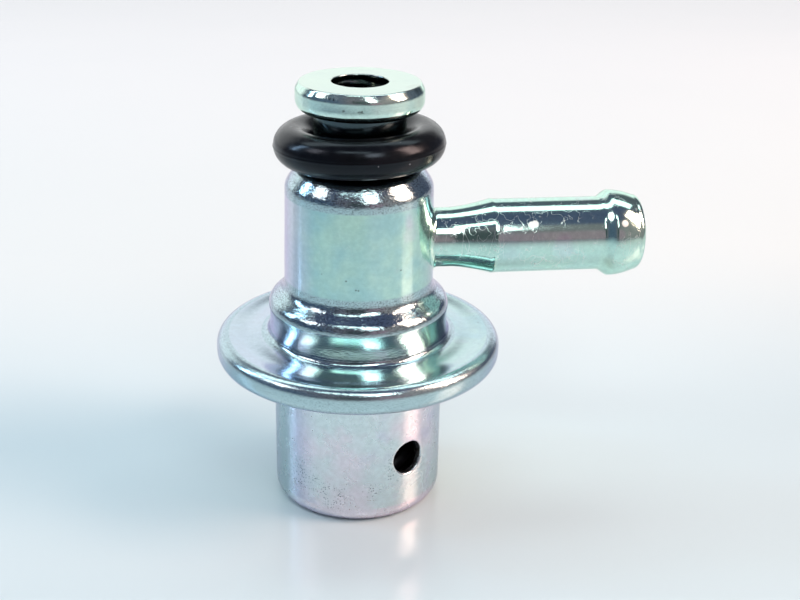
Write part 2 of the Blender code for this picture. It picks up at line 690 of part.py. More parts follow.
def make_ball_spring(parts):
    foot = SHANK_END_Z + SPRING_HOLE_FLOOR + FIT_GAP + BALL_SPRING_WIRE
    top = BALL_BOTTOM_Z - FIT_GAP - BALL_SPRING_WIRE
    radius = SPRING_HOLE_RADIUS - FIT_GAP - BALL_SPRING_WIRE
    pitch = 2.0 * BALL_SPRING_WIRE + SPRING_COIL_GAP
    points = coil_points(
        radius, foot, top, BALL_SPRING_TURNS, BALL_SPRING_END_TURNS, pitch, SMALL_COIL_STEPS)
    return make_coil("ball_spring", points, BALL_SPRING_WIRE, spring_steel(), parts)


def main():
    remove_old_objects()
    parts = new_collection("fuel_pressure_regulator")
    cutters = new_collection("cutters")
    make_upper_body(parts, cutters)
    make_spring_cup(parts, cutters)
    make_top_fitting(parts)
    make_o_ring(parts)
    make_hose_nipple(parts, cutters)
    make_diaphragm(parts)
    make_valve_holder(parts)
    make_valve_ball(parts)
    make_valve_plate(parts)
    make_valve_retainer(parts)
    make_valve_seat(parts)
    make_spring_plate(parts)
    make_main_spring(parts, cutters)
    make_ball_spring(parts)


main()
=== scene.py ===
"""Fuel pressure regulator: the finish of its plated shells, fittings, rubber ring and springs.

The packed frame gives every place. The pieces that show are made again here with fine
profiles, and each one is set up by an operator of the panel in the 3D view's sidebar.
"""

import math
from functools import cache

import bmesh
import bpy
from bpy.props import FloatProperty, FloatVectorProperty, IntProperty, PointerProperty
from mathutils import Matrix, Vector, noise


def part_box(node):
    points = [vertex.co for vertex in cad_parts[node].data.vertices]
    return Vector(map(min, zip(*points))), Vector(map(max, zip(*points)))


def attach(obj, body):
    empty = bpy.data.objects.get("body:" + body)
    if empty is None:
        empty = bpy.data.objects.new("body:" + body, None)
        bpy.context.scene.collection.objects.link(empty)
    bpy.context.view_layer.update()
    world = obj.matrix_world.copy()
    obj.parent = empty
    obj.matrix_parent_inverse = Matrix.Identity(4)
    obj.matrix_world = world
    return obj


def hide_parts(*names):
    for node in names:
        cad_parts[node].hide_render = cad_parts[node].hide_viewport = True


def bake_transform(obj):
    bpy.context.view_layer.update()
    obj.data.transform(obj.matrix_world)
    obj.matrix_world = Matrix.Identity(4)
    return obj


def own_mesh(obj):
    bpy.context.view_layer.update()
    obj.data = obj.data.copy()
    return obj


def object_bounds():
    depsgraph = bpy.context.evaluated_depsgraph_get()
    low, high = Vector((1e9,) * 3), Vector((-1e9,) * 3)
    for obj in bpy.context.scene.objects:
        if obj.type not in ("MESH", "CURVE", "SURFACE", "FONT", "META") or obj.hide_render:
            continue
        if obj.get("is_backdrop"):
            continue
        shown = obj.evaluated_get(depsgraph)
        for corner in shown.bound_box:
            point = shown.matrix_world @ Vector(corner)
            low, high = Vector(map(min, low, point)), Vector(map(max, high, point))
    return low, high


bl_info = {
    "name": "Fuel Pressure Regulator Finish",
    "version": (1, 0, 0),
    "blender": (4, 5, 0),
    "location": "3D View > Sidebar > Regulator",
    "description": "Plated shells, hose nipple, rubber ring and springs of a fuel pressure regulator",
    "category": "Object",
}

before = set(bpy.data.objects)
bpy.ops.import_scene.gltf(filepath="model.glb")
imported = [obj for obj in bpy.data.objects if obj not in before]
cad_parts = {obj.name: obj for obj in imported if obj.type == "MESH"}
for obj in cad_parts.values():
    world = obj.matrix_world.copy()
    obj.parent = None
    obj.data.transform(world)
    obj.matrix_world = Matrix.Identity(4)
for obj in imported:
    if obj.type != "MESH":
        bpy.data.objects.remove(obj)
CAD_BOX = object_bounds()

MM = 0.001
HOUSING = "housing"
VALVE = "valve"

# The photograph's camera, solved from the outlines: metres and radians in the part's frame
PHOTO_WIDTH = 800
FOCAL_PIXELS = 1250.0
SENSOR_MM = 36.0
CAMERA_PLACE = Vector((-0.01313, -0.12496, 0.07669))
CAMERA_FORWARD = Vector((0.1289, 0.9100, -0.3940))
CAMERA_ROLL = 0.021
CAMERA_AZIMUTH = -6.0

# Places read from the packed frame
CUP_FLANGE_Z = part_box("spring_cup")[1].z
BODY_TOP_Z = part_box("upper_body")[1].z
COLLAR_TOP_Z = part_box("top_fitting")[1].z
PIPE_END_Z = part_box("top_fitting")[0].z
NIPPLE_TIP_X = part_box("hose_nipple")[1].x
SPRING_FOOT_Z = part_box("main_spring")[0].z
SPRING_HEAD_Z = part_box("main_spring")[1].z

# Gap between pieces that touch, which the packed solids keep too
GAP = 0.1 * MM

# Steps round a turned piece and round the nipple, and rows in a bend of its outline
FINE_STEPS = 256
NIPPLE_STEPS = 144
BEND_ROWS = 14

BLACK = (0.0, 0.0, 0.0)


def linear(hex_colour):
    """An sRGB hex colour as linear red, green and blue."""
    channels = [int(hex_colour[index:index + 2], 16) / 255.0 for index in (1, 3, 5)]
    return tuple(c / 12.92 if c <= 0.04045 else ((c + 0.055) / 1.055) ** 2.4 for c in channels)


def length(name, default, description):
    return FloatProperty(
        name=name, description=description, default=default, min=0.0, unit="LENGTH",
        subtype="DISTANCE", precision=5)


def turn(name, degrees, description):
    return FloatProperty(
        name=name, description=description, default=math.radians(degrees), unit="ROTATION",
        subtype="ANGLE")


def colour(name, hex_colour, description):
    return FloatVectorProperty(
        name=name, description=description, default=linear(hex_colour), size=3, min=0.0,
        max=1.0, subtype="COLOR")


class RegulatorShell(bpy.types.PropertyGroup):
    """Sizes of the two drawn shells"""

    sheet: length("Sheet", 0.0007, "Thickness of the drawn steel")
    rim_radius: length("Rim radius", 0.0155, "Outside of the rolled rim")
    rim_bend: length("Rim bend", 0.00115, "Outer radius of the rolled rim's bends")
    lip: length("Lip", 0.00145, "Width of the flat lip under the cup's flange")
    step_radius: length("Step radius", 0.00975, "Outside of the step above the flange")
    step_height: length("Step height", 0.0033, "Height of the step above the flange")
    step_foot_bend: length("Step foot bend", 0.0007, "Radius where the step meets the flange")
    step_waist: length("Step waist", 0.00012, "How far the step's wall draws in at mid height")
    flare_angle: turn("Flare angle", 50.0, "Slope of the flare from the step to the cylinder")
    flare_top_bend: length("Flare top bend", 0.0014, "Radius where the flare meets the cylinder")
    flare_foot_bend: length("Flare foot bend", 0.0015, "Radius where the flare meets the step")
    foot_radius: length("Cylinder foot radius", 0.00805, "Outside of the cylinder above the flare")
    top_radius: length("Cylinder top radius", 0.00785, "Outside of the cylinder below its shoulder")
    shoulder_bend: length("Shoulder bend", 0.0013, "Upper radius of the shoulder")
    shoulder_slope: length("Shoulder slope", 0.0014, "Width of the shoulder's nearly straight part")
    shoulder_lean: turn("Shoulder lean", 34.0, "How far the shoulder's slope faces up")
    shoulder_foot_bend: length("Shoulder foot bend", 0.0016, "Lower radius of the shoulder")
    shoulder_drop: length("Shoulder drop", 0.00245, "From the top down to the cylinder's wall")
    body_height: length("Body height", 0.01885, "From the flange's face to the top")
    dish_dip: length("Dish dip", 0.00022, "How far the flange's face sinks between step and rim")
    cup_radius: length("Cup radius", 0.00928, "Outside of the spring cup")
    cup_corner: length("Cup corner", 0.0015, "Radius round the cup's bottom")
    vent_radius: length("Vent radius", 0.0019, "Radius of the vent hole")
    vent_height: length("Vent height", 0.0073, "Height of the vent hole's centre")
    vent_angle: turn("Vent angle", -59.0, "Direction of the vent hole from the nipple")
    vent_edge: length("Vent edge", 0.00022, "Rounding of the vent hole's punched edge")


class RegulatorFittings(bpy.types.PropertyGroup):
    """Sizes of the turned fittings, the ring and the springs"""

    bore: length("Bore radius", 0.00295, "Fuel bore of the top fitting")
    pipe: length("Pipe radius", 0.004, "Outside of the fitting's pipe inside the body")
    neck: length("Neck radius", 0.00482, "Neck that carries the rubber ring")
    neck_length: length("Neck length", 0.0057, "From the body's top to the collar")
    collar: length("Collar radius", 0.00668, "Outside of the collar")
    collar_corner: length("Collar corner", 0.0003, "Small rounding where the collar's face ends")
    collar_bevel: length("Collar bevel", 0.0004, "Width of the worn bevel round the collar's face")
    collar_bevel_lean: turn("Collar bevel lean", 31.0, "How far the bevel faces up")
    collar_swell: length("Collar swell", 0.001, "Rounding from the bevel into the collar's side")
    collar_foot_edge: length("Collar foot edge", 0.0012, "Rounding of the collar's lower edge")
    ring_section: length("Ring section", 0.00205, "Radius of the rubber ring's section")
    ring_play: length("Ring play", 0.00005, "Clearance between the neck and the ring")
    ring_tilt: turn("Ring tilt", 2.2, "How far the ring leans")
    ring_high_side: turn("Ring high side", -53.0, "Direction in which the ring sits highest")
    flash: length("Flash line", 0.00004, "Height of the moulding line round the ring")
    nipple_rise: length("Nipple rise", 0.01045, "Nipple axis above the flange's face")
    nipple_bore: length("Nipple bore", 0.0024, "Radius of the nipple's bore")
    root: length("Root radius", 0.0032, "Nipple radius at the body")
    stem: length("Stem radius", 0.004, "Radius of the hose stem")
    stem_start: length("Stem start", 0.0141, "From the housing's axis to the hose stem")
    stem_length: length("Stem length", 0.0119, "Length of the hose stem")
    taper: length("Taper", 0.0044, "Length of the taper before the stem")
    bead: length("Bead radius", 0.0047, "Radius of the hose bead")
    bead_rise: length("Bead rise", 0.00135, "From the stem to the bead's crest")
    tip: length("Tip radius", 0.00415, "Nipple radius at its tip")
    tip_bend: length("Tip bend", 0.00065, "Rounding of the nipple's tip")
    braze: length("Braze fillet", 0.0005, "Fillet of braze where the nipple meets the body")
    spring_radius: length("Spring radius", 0.0056, "Radius of the main spring's coil")
    spring_wire: length("Spring wire", 0.0008, "Radius of the main spring's wire")
    spring_start: turn("Spring start", 103.0, "Direction in which the main spring's wire starts")
    spring_turns: FloatProperty(
        name="Spring turns", description="Active turns of the main spring", default=3.5, min=1.0)
    coil_steps: IntProperty(
        name="Coil steps", description="Points on the main spring's wire in each turn",
        default=72, min=8)


class RegulatorFinish(bpy.types.PropertyGroup):
    """Colours and wear of the finishes"""

    body_tint: colour("Body tint", "#C6E9DA", "Blue-green passivate on the drawn body")
    body_shade: colour("Body shade", "#B0D9D9", "Bluer patches of the passivate")
    formed_tint: colour("Formed tint", "#BCD6DA", "Greyer film where the sheet was bent or pressed")
    # Lilac tint also colours the painted lilac sheen laid down the part's left side
    lilac_tint: colour("Lilac tint", "#D3D1E6", "Lilac patches of the passivate")
    body_edge: colour("Body edge", "#F3E6F6", "Lilac that the film turns at a grazing look")
    cup_tint: colour("Cup tint", "#E9E4EC", "Silver-lilac passivate on the spring cup")
    cup_shade: colour("Cup shade", "#DAE8EA", "Cooler patches on the spring cup")
    turned_tint: colour("Turned tint", "#C6E9DD", "Passivate on the turned pieces")
    turned_edge: colour("Turned edge", "#F2F8F2", "Pale tone of turned pieces at a grazing look")
    collar_tint: colour("Collar tint", "#D4F0E6", "Brighter film on the top fitting")
    face_tint: colour("Face tint", "#D6E0DC", "Paler film on the collar's flat face")
    turned_shade: colour("Turned shade", "#BBDDDD", "Bluer patches on the turned pieces")
    rubber_tint: colour("Rubber tint", "#08090B", "Black nitrile rubber")
    diaphragm_tint: colour("Diaphragm tint", "#2E2A27", "Fabric reinforced rubber sheet")
    wire_tint: colour("Wire tint", "#A9ADB0", "Plated spring wire")
    ground_tint: colour("Ground tint", "#BDBDBA", "Ground stainless steel")
    dirt_tint: colour("Dirt tint", "#3A3631", "Specks of dirt and etched pits")
    # The three floor tints grade the board from darker and bluer near the camera to near white far
    # behind: painted light
    floor_near: colour("Floor near", "#CBDEE0", "Pale board on the camera's side")
    floor_tint: colour("Floor tint", "#E0E8E4", "Pale board behind the regulator")
    floor_far: colour("Floor far", "#F3F5F1", "Pale board far behind")
    wear: FloatProperty(
        name="Wear", description="Strength of scratches and specks", default=0.7, min=0.0,
        max=1.0, subtype="FACTOR")


def settings():
    """The three groups of sizes and colours, as kept on the scene."""
    scene = bpy.context.scene
    return scene.regulator_shell, scene.regulator_fittings, scene.regulator_finish


# Node trees


def per_mm(period):
    """Texture scale on Object coordinates, in metres, of a pattern that repeats in so many mm."""
    return 1.0 / (period * MM)


def per_band(period):
    """The same for the Wave texture, which counts 20 radians in one unit."""
    return math.tau / 20.0 * per_mm(period)


# Short names of the nodes that come up most, with their settings
SHORT_NAMES = {
    "ramp": ("ShaderNodeMapRange", {"interpolation_type": "SMOOTHSTEP"}),
    "mix": ("ShaderNodeMix", {"data_type": "RGBA"}),
    "split": ("ShaderNodeSeparateXYZ", {}),
    "point": ("ShaderNodeCombineXYZ", {}),
    "vector": ("ShaderNodeVectorMath", {}),
}


class Graph:
    """A node tree, built by adding nodes and the patterns that several finishes share."""

    def __init__(self, tree):
        self.tree = tree

    def fill(self, socket, value):
        """Joins an input to another node's output, or sets its value."""
        if isinstance(value, bpy.types.NodeSocket):
            self.tree.links.new(value, socket)
        elif socket.type == "RGBA":
            socket.default_value = (*value[:3], 1.0)
        else:
            socket.default_value = value

    def add(self, kind, *values, out=None, **named):
        """An output of a new node, the first one unless out names another.

        A kind in capitals is an operation of the Math node. The values are for the inputs that
        the settings leave in use, in order. Among the named ones, those in small letters are
        settings and the others are inputs, with _ for a space.
        """
        kind, known = SHORT_NAMES.get(kind, (kind, {}))
        if kind.isupper():
            kind, known = "ShaderNodeMath", {"operation": kind}
        node = self.tree.nodes.new(kind)
        for name, value in {**known, **named}.items():
            if name.islower():
                setattr(node, name, value)
        in_use = [socket for socket in node.inputs if socket.enabled]
        for socket, value in zip(in_use, values):
            self.fill(socket, value)
        for name, value in named.items():
            if not name.islower():
                self.fill(node.inputs[name.replace("_", " ")], value)
        return node.outputs[out] if out else next(each for each in node.outputs if each.enabled)


class Finish(Graph):
    """A material: its film's colour, gloss and relief, and the patterns on Object coordinates."""

    def __init__(self, name, tint):
        self.material = bpy.data.materials.new(name)
        self.material.use_nodes = True
        self.material.diffuse_color = (*tint, 1.0)
        super().__init__(self.material.node_tree)
        self.where = self.add("ShaderNodeTexCoord", out="Object")
        self.film = tint

    def cloud(self, period, detail=2.0, stretch=(1.0, 1.0, 1.0), shift=0.0):
        """Noise from 0 to 1 whose lumps are about period mm across, stretched along the axes."""
        place = self.add(
            "ShaderNodeMapping", self.where, Scale=stretch, Location=(shift, shift, shift))
        return self.add("ShaderNodeTexNoise", place, per_mm(period), detail, 0.55)

    def fine_lines(self, field, width):
        """1 along the thin lines where a noise field crosses its middle, else 0."""
        return self.add("ramp", self.add("ABSOLUTE", self.add("SUBTRACT", field, 0.5)), width, 0.0)

    def spots(self, period, size, random_share):
        """Small round dots, about period mm apart, on a random share of the places."""
        away = self.add(
            "ShaderNodeTexVoronoi", self.where, per_mm(period), Randomness=1.0, out="Distance")
        dot = self.add("ramp", away, size, size * 0.5)
        red = self.add("ShaderNodeSeparateColor", away.node.outputs["Color"])
        return self.add("MULTIPLY", dot, self.add("LESS_THAN", red, random_share))

    def marks(self, places, reach, core=0.5):
        """1 at single marks whose places are given in mm, fading out between core and reach."""
        found = 0.0
        for place in places:
            away = self.add("vector", self.where, Vector(place) * MM, operation="DISTANCE")
            near = self.add("ramp", away, reach * MM, core * reach * MM)
            found = self.add("MAXIMUM", found, near)
        return found

    def lay(self, tint, share, most=1.0):
        """Lays a colour over the film where share is 1, at most so much of it."""
        self.film = self.add("mix", self.add("MULTIPLY", share, most), self.film, tint)

    def done(self, rough, normal=None, **others):
        """The material, with film, gloss, relief and other values on its Principled shader."""
        sockets = self.tree.nodes["Principled BSDF"].inputs
        values = {"Base_Color": self.film, "Roughness": rough, "Normal": normal, **others}
        for name, value in values.items():
            if value is not None:
                self.fill(sockets[name.replace("_", " ")], value)
        return self.material


def plated_steel(name, tint, shade, formed_tint, gloss, peel, scratch, speck_share):
    """Zinc plated steel, as a finish with its gloss and relief: mirror-like film with soft colour
    patches, a painted lilac sheen down the left side, orange peel and grit where the sheet was
    formed, hair scratches and dark pits."""
    look = settings()[2]
    coat = Finish(name, tint)
    add, cloud = coat.add, coat.cloud
    scratch *= look.wear
    formed = add("ShaderNodeAttribute", attribute_name="formed", out="Fac")
    bent = add("ramp", formed, 0.1, 0.5)

    coat.lay(shade, add("ramp", cloud(7.0, 3.0), 0.38, 0.62))
    # Painted sheen: lilac laid down the part's left side, where the film is seen at a grazing angle;
    # the lilac noise patches are the film's own tone
    left_sheen = add("ramp", add("split", coat.where, out="X"), -4.8 * MM, -7.2 * MM, 0.0, 0.65)
    lilac = add("ramp", cloud(5.0, 2.0, shift=15.0), 0.56, 0.72, 0.0, 0.6)
    coat.lay(look.lilac_tint, add("MAXIMUM", lilac, left_sheen))
    coat.lay(formed_tint, bent)
    grit = add("ramp", cloud(0.17, 3.0, (1.0, 1.0, 1.7), 6.0), 0.34, 0.54, 0.55, 0.0)
    coat.lay(BLACK, add("MULTIPLY", grit, bent), peel)
    cloudy = add("ramp", cloud(0.55, 4.0, shift=3.0), 0.3, 0.75, 0.93, 1.05)
    coat.film = add("mix", 1.0, coat.film, cloudy, blend_type="MULTIPLY")

    hairs = coat.fine_lines(cloud(2.4, 1.0, (1.0, 1.0, 0.22), 1.0), 0.006)
    curls = coat.fine_lines(cloud(1.3, 2.0, shift=5.0), 0.013)
    spared = 0.52 - 0.12 * min(scratch, 1.0)
    worn = add("ramp", cloud(3.2, 2.0, shift=9.0), spared, spared + 0.12, 0.0, scratch)
    scratches = add("MULTIPLY", add("MAXIMUM", hairs, curls), worn)
    pits = coat.spots(0.9, 0.10, speck_share * look.wear)
    coat.lay(look.dirt_tint, pits, 0.85)
    coat.lay((0.9, 0.93, 0.93), scratches, 0.5)

    amount = add("MULTIPLY_ADD", formed, peel, 0.015)
    height = add("MULTIPLY", cloud(0.42, 3.0, (1.0, 1.0, 1.9), 2.0), amount)
    normal = add("ShaderNodeBump", Height=height, Distance=0.032 * MM)
    normal = add(
        "ShaderNodeBump", Height=cloud(0.11, 2.0, shift=7.0), Distance=0.0008 * MM, Normal=normal)
    normal = add(
        "ShaderNodeBump", Height=add("MAXIMUM", scratches, pits), Distance=-0.004 * MM,
        Strength=0.6, Normal=normal)
    rough = add("ramp", cloud(1.6, 4.0, shift=4.0), 0.3, 0.7, gloss * 0.88, gloss * 1.16)
    rough = add("MULTIPLY_ADD", scratches, 0.2, rough)
    rough = add("MULTIPLY_ADD", pits, 0.35, rough, use_clamp=True)
    return coat, rough, normal


@cache
def drawn_zinc_plate():
    """Drawn steel with blue-green clear passivate: wet-looking, teal to lilac, peel in the bends."""
    look = settings()[2]
    coat, rough, normal = plated_steel(
        "drawn_zinc_plate_blue_passivate", look.body_tint, look.body_shade, look.formed_tint,
        0.11, 1.0, 0.35, 0.05)
    height = coat.add("split", coat.where, out="Z")
    low = coat.add("ramp", height, dish_z() + 0.5 * MM, dish_z() - 0.1 * MM)
    coat.lay(look.formed_tint, low, 0.5)
    dings = coat.marks(((-1.11, -7.9, 27.25), (-0.85, -7.93, 27.2), (-2.1, -7.7, 28.2)), 0.14)
    coat.lay(look.dirt_tint, dings, 0.6)
    rough = coat.add("MULTIPLY_ADD", low, 0.1, rough)
    return coat.done(rough, normal, Metallic=1.0, Specular_Tint=look.body_edge)


# Clusters of specks on the cup: direction in degrees, height and reach in mm
CUP_SPECKS = ((-134.0, 4.8, 3.0), (-113.0, 3.3, 2.5), (-70.0, 6.3, 2.4), (-86.0, 4.0, 1.5))


@cache
def cup_zinc_plate():
    """The cup's satin zinc plate: silver-lilac, softer gloss, clusters of etched grey specks, and a
    greener painted reflection on its left and right sides.
    """
    shell, _, look = settings()
    coat, rough, normal = plated_steel(
        "drawn_zinc_plate_satin", look.cup_tint, look.cup_shade, look.cup_tint,
        0.25, 0.1, 0.15, 0.03)
    add = coat.add
    etched = 0.0
    for angle, height, reach in CUP_SPECKS:
        spot = on_circle(shell.cup_radius / MM, math.radians(angle), height)
        etched = add("MAXIMUM", etched, coat.marks((spot,), reach, 0.3))
    broken = add("ramp", coat.cloud(1.1, 2.0, shift=11.0), 0.40, 0.54)
    specks = add("MULTIPLY", coat.spots(0.22, 0.40, 0.72), add("MULTIPLY", etched, broken))
    # Painted reflection: a greener film on the cup's left and right sides, standing in for the floor
    # that its edges mirror
    across = add("ABSOLUTE", add("split", coat.where, out="X"))
    coat.lay(linear("#A2CFBC"), add("ramp", across, 6.9 * MM, 8.9 * MM, 0.0, 0.6))
    coat.lay(linear("#48545D"), specks, 0.9)
    return coat.done(rough, normal, Metallic=1.0, Specular_Tint=look.body_edge)


# Places in mm on the collar: its dull patch, and the nicks on its face and edge
DULL_PATCH = ((4.9, -3.2, 46.55), (5.4, -2.6, 46.7))
COLLAR_NICKS = (
    (2.84, -0.86, 47.05), (3.18, -0.55, 47.05), (3.52, -0.39, 47.05), (-2.3, -6.25, 45.5),
    (-0.75, -6.6, 45.4), (-0.45, -6.6, 45.45), (-3.5, -5.3, 46.5), (-3.2, -5.5, 46.45))


@cache
def turned_zinc_plate():
    """Turned steel with bright plate, nicked by handling, with painted shade darkening its bore and
    its neck, and tool rings in the bore that are drawn coarser than real ones, so that they show."""
    _, fittings, look = settings()
    coat, rough, normal = plated_steel(
        "turned_zinc_plate", look.collar_tint, look.turned_shade, look.collar_tint,
        0.12, 0.35, 0.5, 0.05)
    add = coat.add
    coat.lay(linear("#3E4B48"), coat.marks(DULL_PATCH, 1.0), 0.6)
    broken = add("ramp", coat.cloud(0.2, 2.0, shift=8.0), 0.4, 0.6)
    coat.lay(look.dirt_tint, add("MULTIPLY", coat.marks(COLLAR_NICKS, 0.22), broken), 0.8)
    flat = add("vector", coat.where, (1.0, 1.0, 0.0), operation="MULTIPLY")
    away = add("vector", flat, operation="LENGTH")
    height = add("split", coat.where, out="Z")
    # Painted shade: the bore's inside is laid over with dark grey-green, standing in for the shade
    # down the hole; the same mask places the tool rings
    inside = add("ramp", away, fittings.bore + 0.2 * MM, fittings.bore + 0.05 * MM)
    coat.lay(linear("#26302E"), inside, 0.72)
    # Painted shade: the neck under the collar is laid over with dark navy, standing in for the shade
    # between collar and ring
    foot = BODY_TOP_Z + GAP + fittings.neck_length
    neck = add(
        "MULTIPLY", add("ramp", away, fittings.neck + 0.5 * MM, fittings.neck + 0.2 * MM),
        add("ramp", height, foot + 0.15 * MM, foot))
    coat.lay(linear("#2B3742"), neck, 0.9)
    face = add("ramp", height, COLLAR_TOP_Z - 0.12 * MM, COLLAR_TOP_Z - 0.03 * MM)
    coat.lay(look.face_tint, face, 0.85)
    rings = add(
        "ShaderNodeTexWave", coat.where, per_band(0.987), 2.5, 2.0, bands_direction="Z", out="Fac")
    normal = add(
        "ShaderNodeBump", Height=add("MULTIPLY", rings, inside), Distance=0.06 * MM, Normal=normal)
    return coat.done(rough, normal, Metallic=1.0, Specular_Tint=look.turned_edge)


@cache
def nipple_zinc_plate():
    """Turned hose nipple: bright plate with curled handling scratches and small rubbed marks."""
    look = settings()[2]
    coat, rough, normal = plated_steel(
        "turned_zinc_plate_scratched", look.turned_tint, look.turned_shade, look.turned_tint,
        0.11, 0.12, 1.4, 0.1)
    rubbed = coat.marks(((18.05, -3.28, 32.14), (18.4, -3.2, 32.2), (28.0, -3.9, 32.2)), 0.5)
    coat.lay(linear("#E6EFEF"), rubbed)
    rough = coat.add("MULTIPLY_ADD", rubbed, 0.4, rough)
    return coat.done(rough, normal, Metallic=1.0, Specular_Tint=look.turned_edge)


@cache
def moulded_nitrile():
    """Moulded nitrile rubber: near black, a waxy half gloss and pale dust in its pores."""
    coat = Finish("moulded_nitrile_rubber", settings()[2].rubber_tint)
    coat.lay(linear("#12161A"), coat.add("ramp", coat.cloud(2.5, 3.0), 0.4, 0.7), 0.35)
    coat.lay(linear("#9AA2A8"), coat.spots(0.8, 0.11, 0.22), 0.7)
    rough = coat.add("ramp", coat.cloud(0.8, 3.0, shift=2.0), 0.3, 0.7, 0.17, 0.27)
    normal = coat.add("ShaderNodeBump", Height=coat.cloud(0.09, 2.0), Distance=0.0015 * MM)
    return coat.done(rough, normal, IOR=1.35, Specular_Tint=(0.72, 0.86, 1.0))


@cache
def coated_fabric():
    """Fabric reinforced rubber sheet: matte, with the weave just telegraphing through."""
    coat = Finish("fabric_reinforced_rubber", settings()[2].diaphragm_tint)
    threads = [
        coat.add(
            "ShaderNodeTexWave", coat.where, per_band(0.79), 0.5, bands_direction=axis, out="Fac")
        for axis in "XY"]
    weave = coat.add("MULTIPLY", *threads)
    coat.lay(linear("#3D3833"), weave)
    return coat.done(0.68, coat.add("ShaderNodeBump", Height=weave, Distance=0.02 * MM))


@cache
def spring_wire():
    """Drawn spring wire: grey plate with fine draw lines along the wire and a soft shine."""
    coat = Finish("plated_spring_wire", settings()[2].wire_tint)
    coat.lay(linear("#7D8285"), coat.cloud(0.5, 3.0))
    rough = coat.add("ramp", coat.cloud(0.4, 3.0, shift=3.0), 0.3, 0.7, 0.34, 0.48)
    lines = coat.cloud(0.12, 2.0, (1.0, 1.0, 4.0))
    normal = coat.add("ShaderNodeBump", Height=lines, Distance=0.002 * MM)
    return coat.done(rough, normal, Metallic=1.0)


@cache
def ground_stainless():
    """Ground stainless steel: neutral grey with concentric grinding marks."""
    coat = Finish("ground_stainless_steel", settings()[2].ground_tint)
    coat.lay(linear("#9C9D9B"), coat.cloud(0.8, 3.0))
    rings = coat.add(
        "ShaderNodeTexWave", coat.where, per_band(0.237), 1.5, wave_type="RINGS",
        rings_direction="Z", out="Fac")
    normal = coat.add("ShaderNodeBump", Height=rings, Distance=0.001 * MM, Strength=0.6)
    return coat.done(0.24, normal, Metallic=1.0)


# Outlines in the (r, z) plane


def arc(centre, radius, start, end, rows=BEND_ROWS):
    """Points of an arc, both ends included, angles in degrees."""
    angles = [math.radians(start + (end - start) * index / rows) for index in range(rows + 1)]
    return [(centre[0] + radius * math.cos(a), centre[1] + radius * math.sin(a)) for a in angles]


def straight(first, last, rows, sag=0.0, power=1.0):
    """Points between two others, both left out, on a line that may sag to its right hand."""
    first, last = Vector(first), Vector(last)
    way = (last - first).normalized()
    points = []
    for share in [index / (rows + 1) for index in range(1, rows + 1)]:
        aside = Vector((way.y, -way.x)) * sag * math.sin(math.pi * share) ** power
        points.append(tuple(first.lerp(last, share) + aside))
    return points


def weighted(*parts):
    """The points of all parts as (r, z, weight), without repeats. A part is points and a weight.

    The weight says how much the sheet was formed there, for the finish.
    """
    path = []
    for points, weight in parts:
        for radius, height in points:
            if not path or math.dist((radius, height), path[-1][:2]) > 1e-7:
                path.append((radius, height, weight))
    return path


def offset_side(path, thickness):
    """The weighted path moved by thickness to its right hand, with mitred corners."""
    moved = []
    for index, point in enumerate(path):
        here = Vector(point[:2])
        before = Vector(path[max(index - 1, 0)][:2])
        after = Vector(path[min(index + 1, len(path) - 1)][:2])
        first = (here - before).normalized() if index > 0 else (after - here).normalized()
        second = (after - here).normalized() if index < len(path) - 1 else first
        first_normal = Vector((first.y, -first.x))
        bisector = (first_normal + Vector((second.y, -second.x))).normalized()
        moved.append((*(here + bisector * thickness / bisector.dot(first_normal)), 0.0))
    return moved


# Meshes


def on_circle(radius, angle, height):
    return Vector((radius * math.cos(angle), radius * math.sin(angle), height))


def around(steps):
    return [math.tau * index / steps for index in range(steps)]


def link_object(name, data):
    made = bpy.data.objects.new(name, data)
    bpy.context.scene.collection.objects.link(made)
    return made


def mesh_object(name, points, faces, weights):
    """A mesh object with outward faces, smooth shading and the formed attribute."""
    mesh = bpy.data.meshes.new(name)
    mesh.from_pydata(points, [], faces)
    mesh.attributes.new("formed", "FLOAT", "POINT").data.foreach_set("value", weights)
    shape = bmesh.new()
    shape.from_mesh(mesh)
    bmesh.ops.recalc_face_normals(shape, faces=shape.faces)
    shape.to_mesh(mesh)
    shape.free()
    mesh.shade_smooth()
    mesh.set_sharp_from_angle(angle=math.radians(40.0))
    return link_object(name, mesh)


def skinned(name, rings):
    """A mesh through rings of points, each with its weight, the last joined to the first."""
    steps = len(rings[0][0])
    points = [point for ring, _ in rings for point in ring]
    weights = [weight for _, weight in rings for _ in range(steps)]
    faces = []
    for low in range(0, len(points), steps):
        high = (low + steps) % len(points)
        for index in range(steps):
            after = (index + 1) % steps
            faces.append((low + index, low + after, high + after, high + index))
    return mesh_object(name, points, faces, weights)


def turned(name, outline, steps=FINE_STEPS):
    """A hollow solid turned round Z from a closed outline of (r, z, weight)."""
    return skinned(name, [
        ([on_circle(radius, angle, height) for angle in around(steps)], weight)
        for radius, height, weight in outline])


def waver(made, size, amount, seed):
    """Moves the points a little along their normals, as hand-fed tooling leaves a surface."""
    moved = []
    for vertex in made.data.vertices:
        place = vertex.co / (size * MM) + Vector((seed, -seed, 2.0 * seed))
        moved.append(vertex.co + vertex.normal * noise.noise(place) * amount * MM)
    for vertex, place in zip(made.data.vertices, moved):
        vertex.co = place
    made.data.update()


def dent(made, centre, reach, push):
    """Moves the points within reach of a centre by up to push."""
    for vertex in made.data.vertices:
        away = (vertex.co - centre).length / reach
        if away < 1.0:
            vertex.co += push * (1.0 - away * away) ** 2
    made.data.update()


def dress(piece, material, body, node):
    """Gives a piece its finish in a slot and its body, and hides the solid that it stands for."""
    piece.data.materials.clear()
    piece.data.materials.append(material)
    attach(piece, body)
    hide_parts(node)


def dish_z():
    """Height of the flange's upper face."""
    return BODY_TOP_Z - settings()[0].body_height


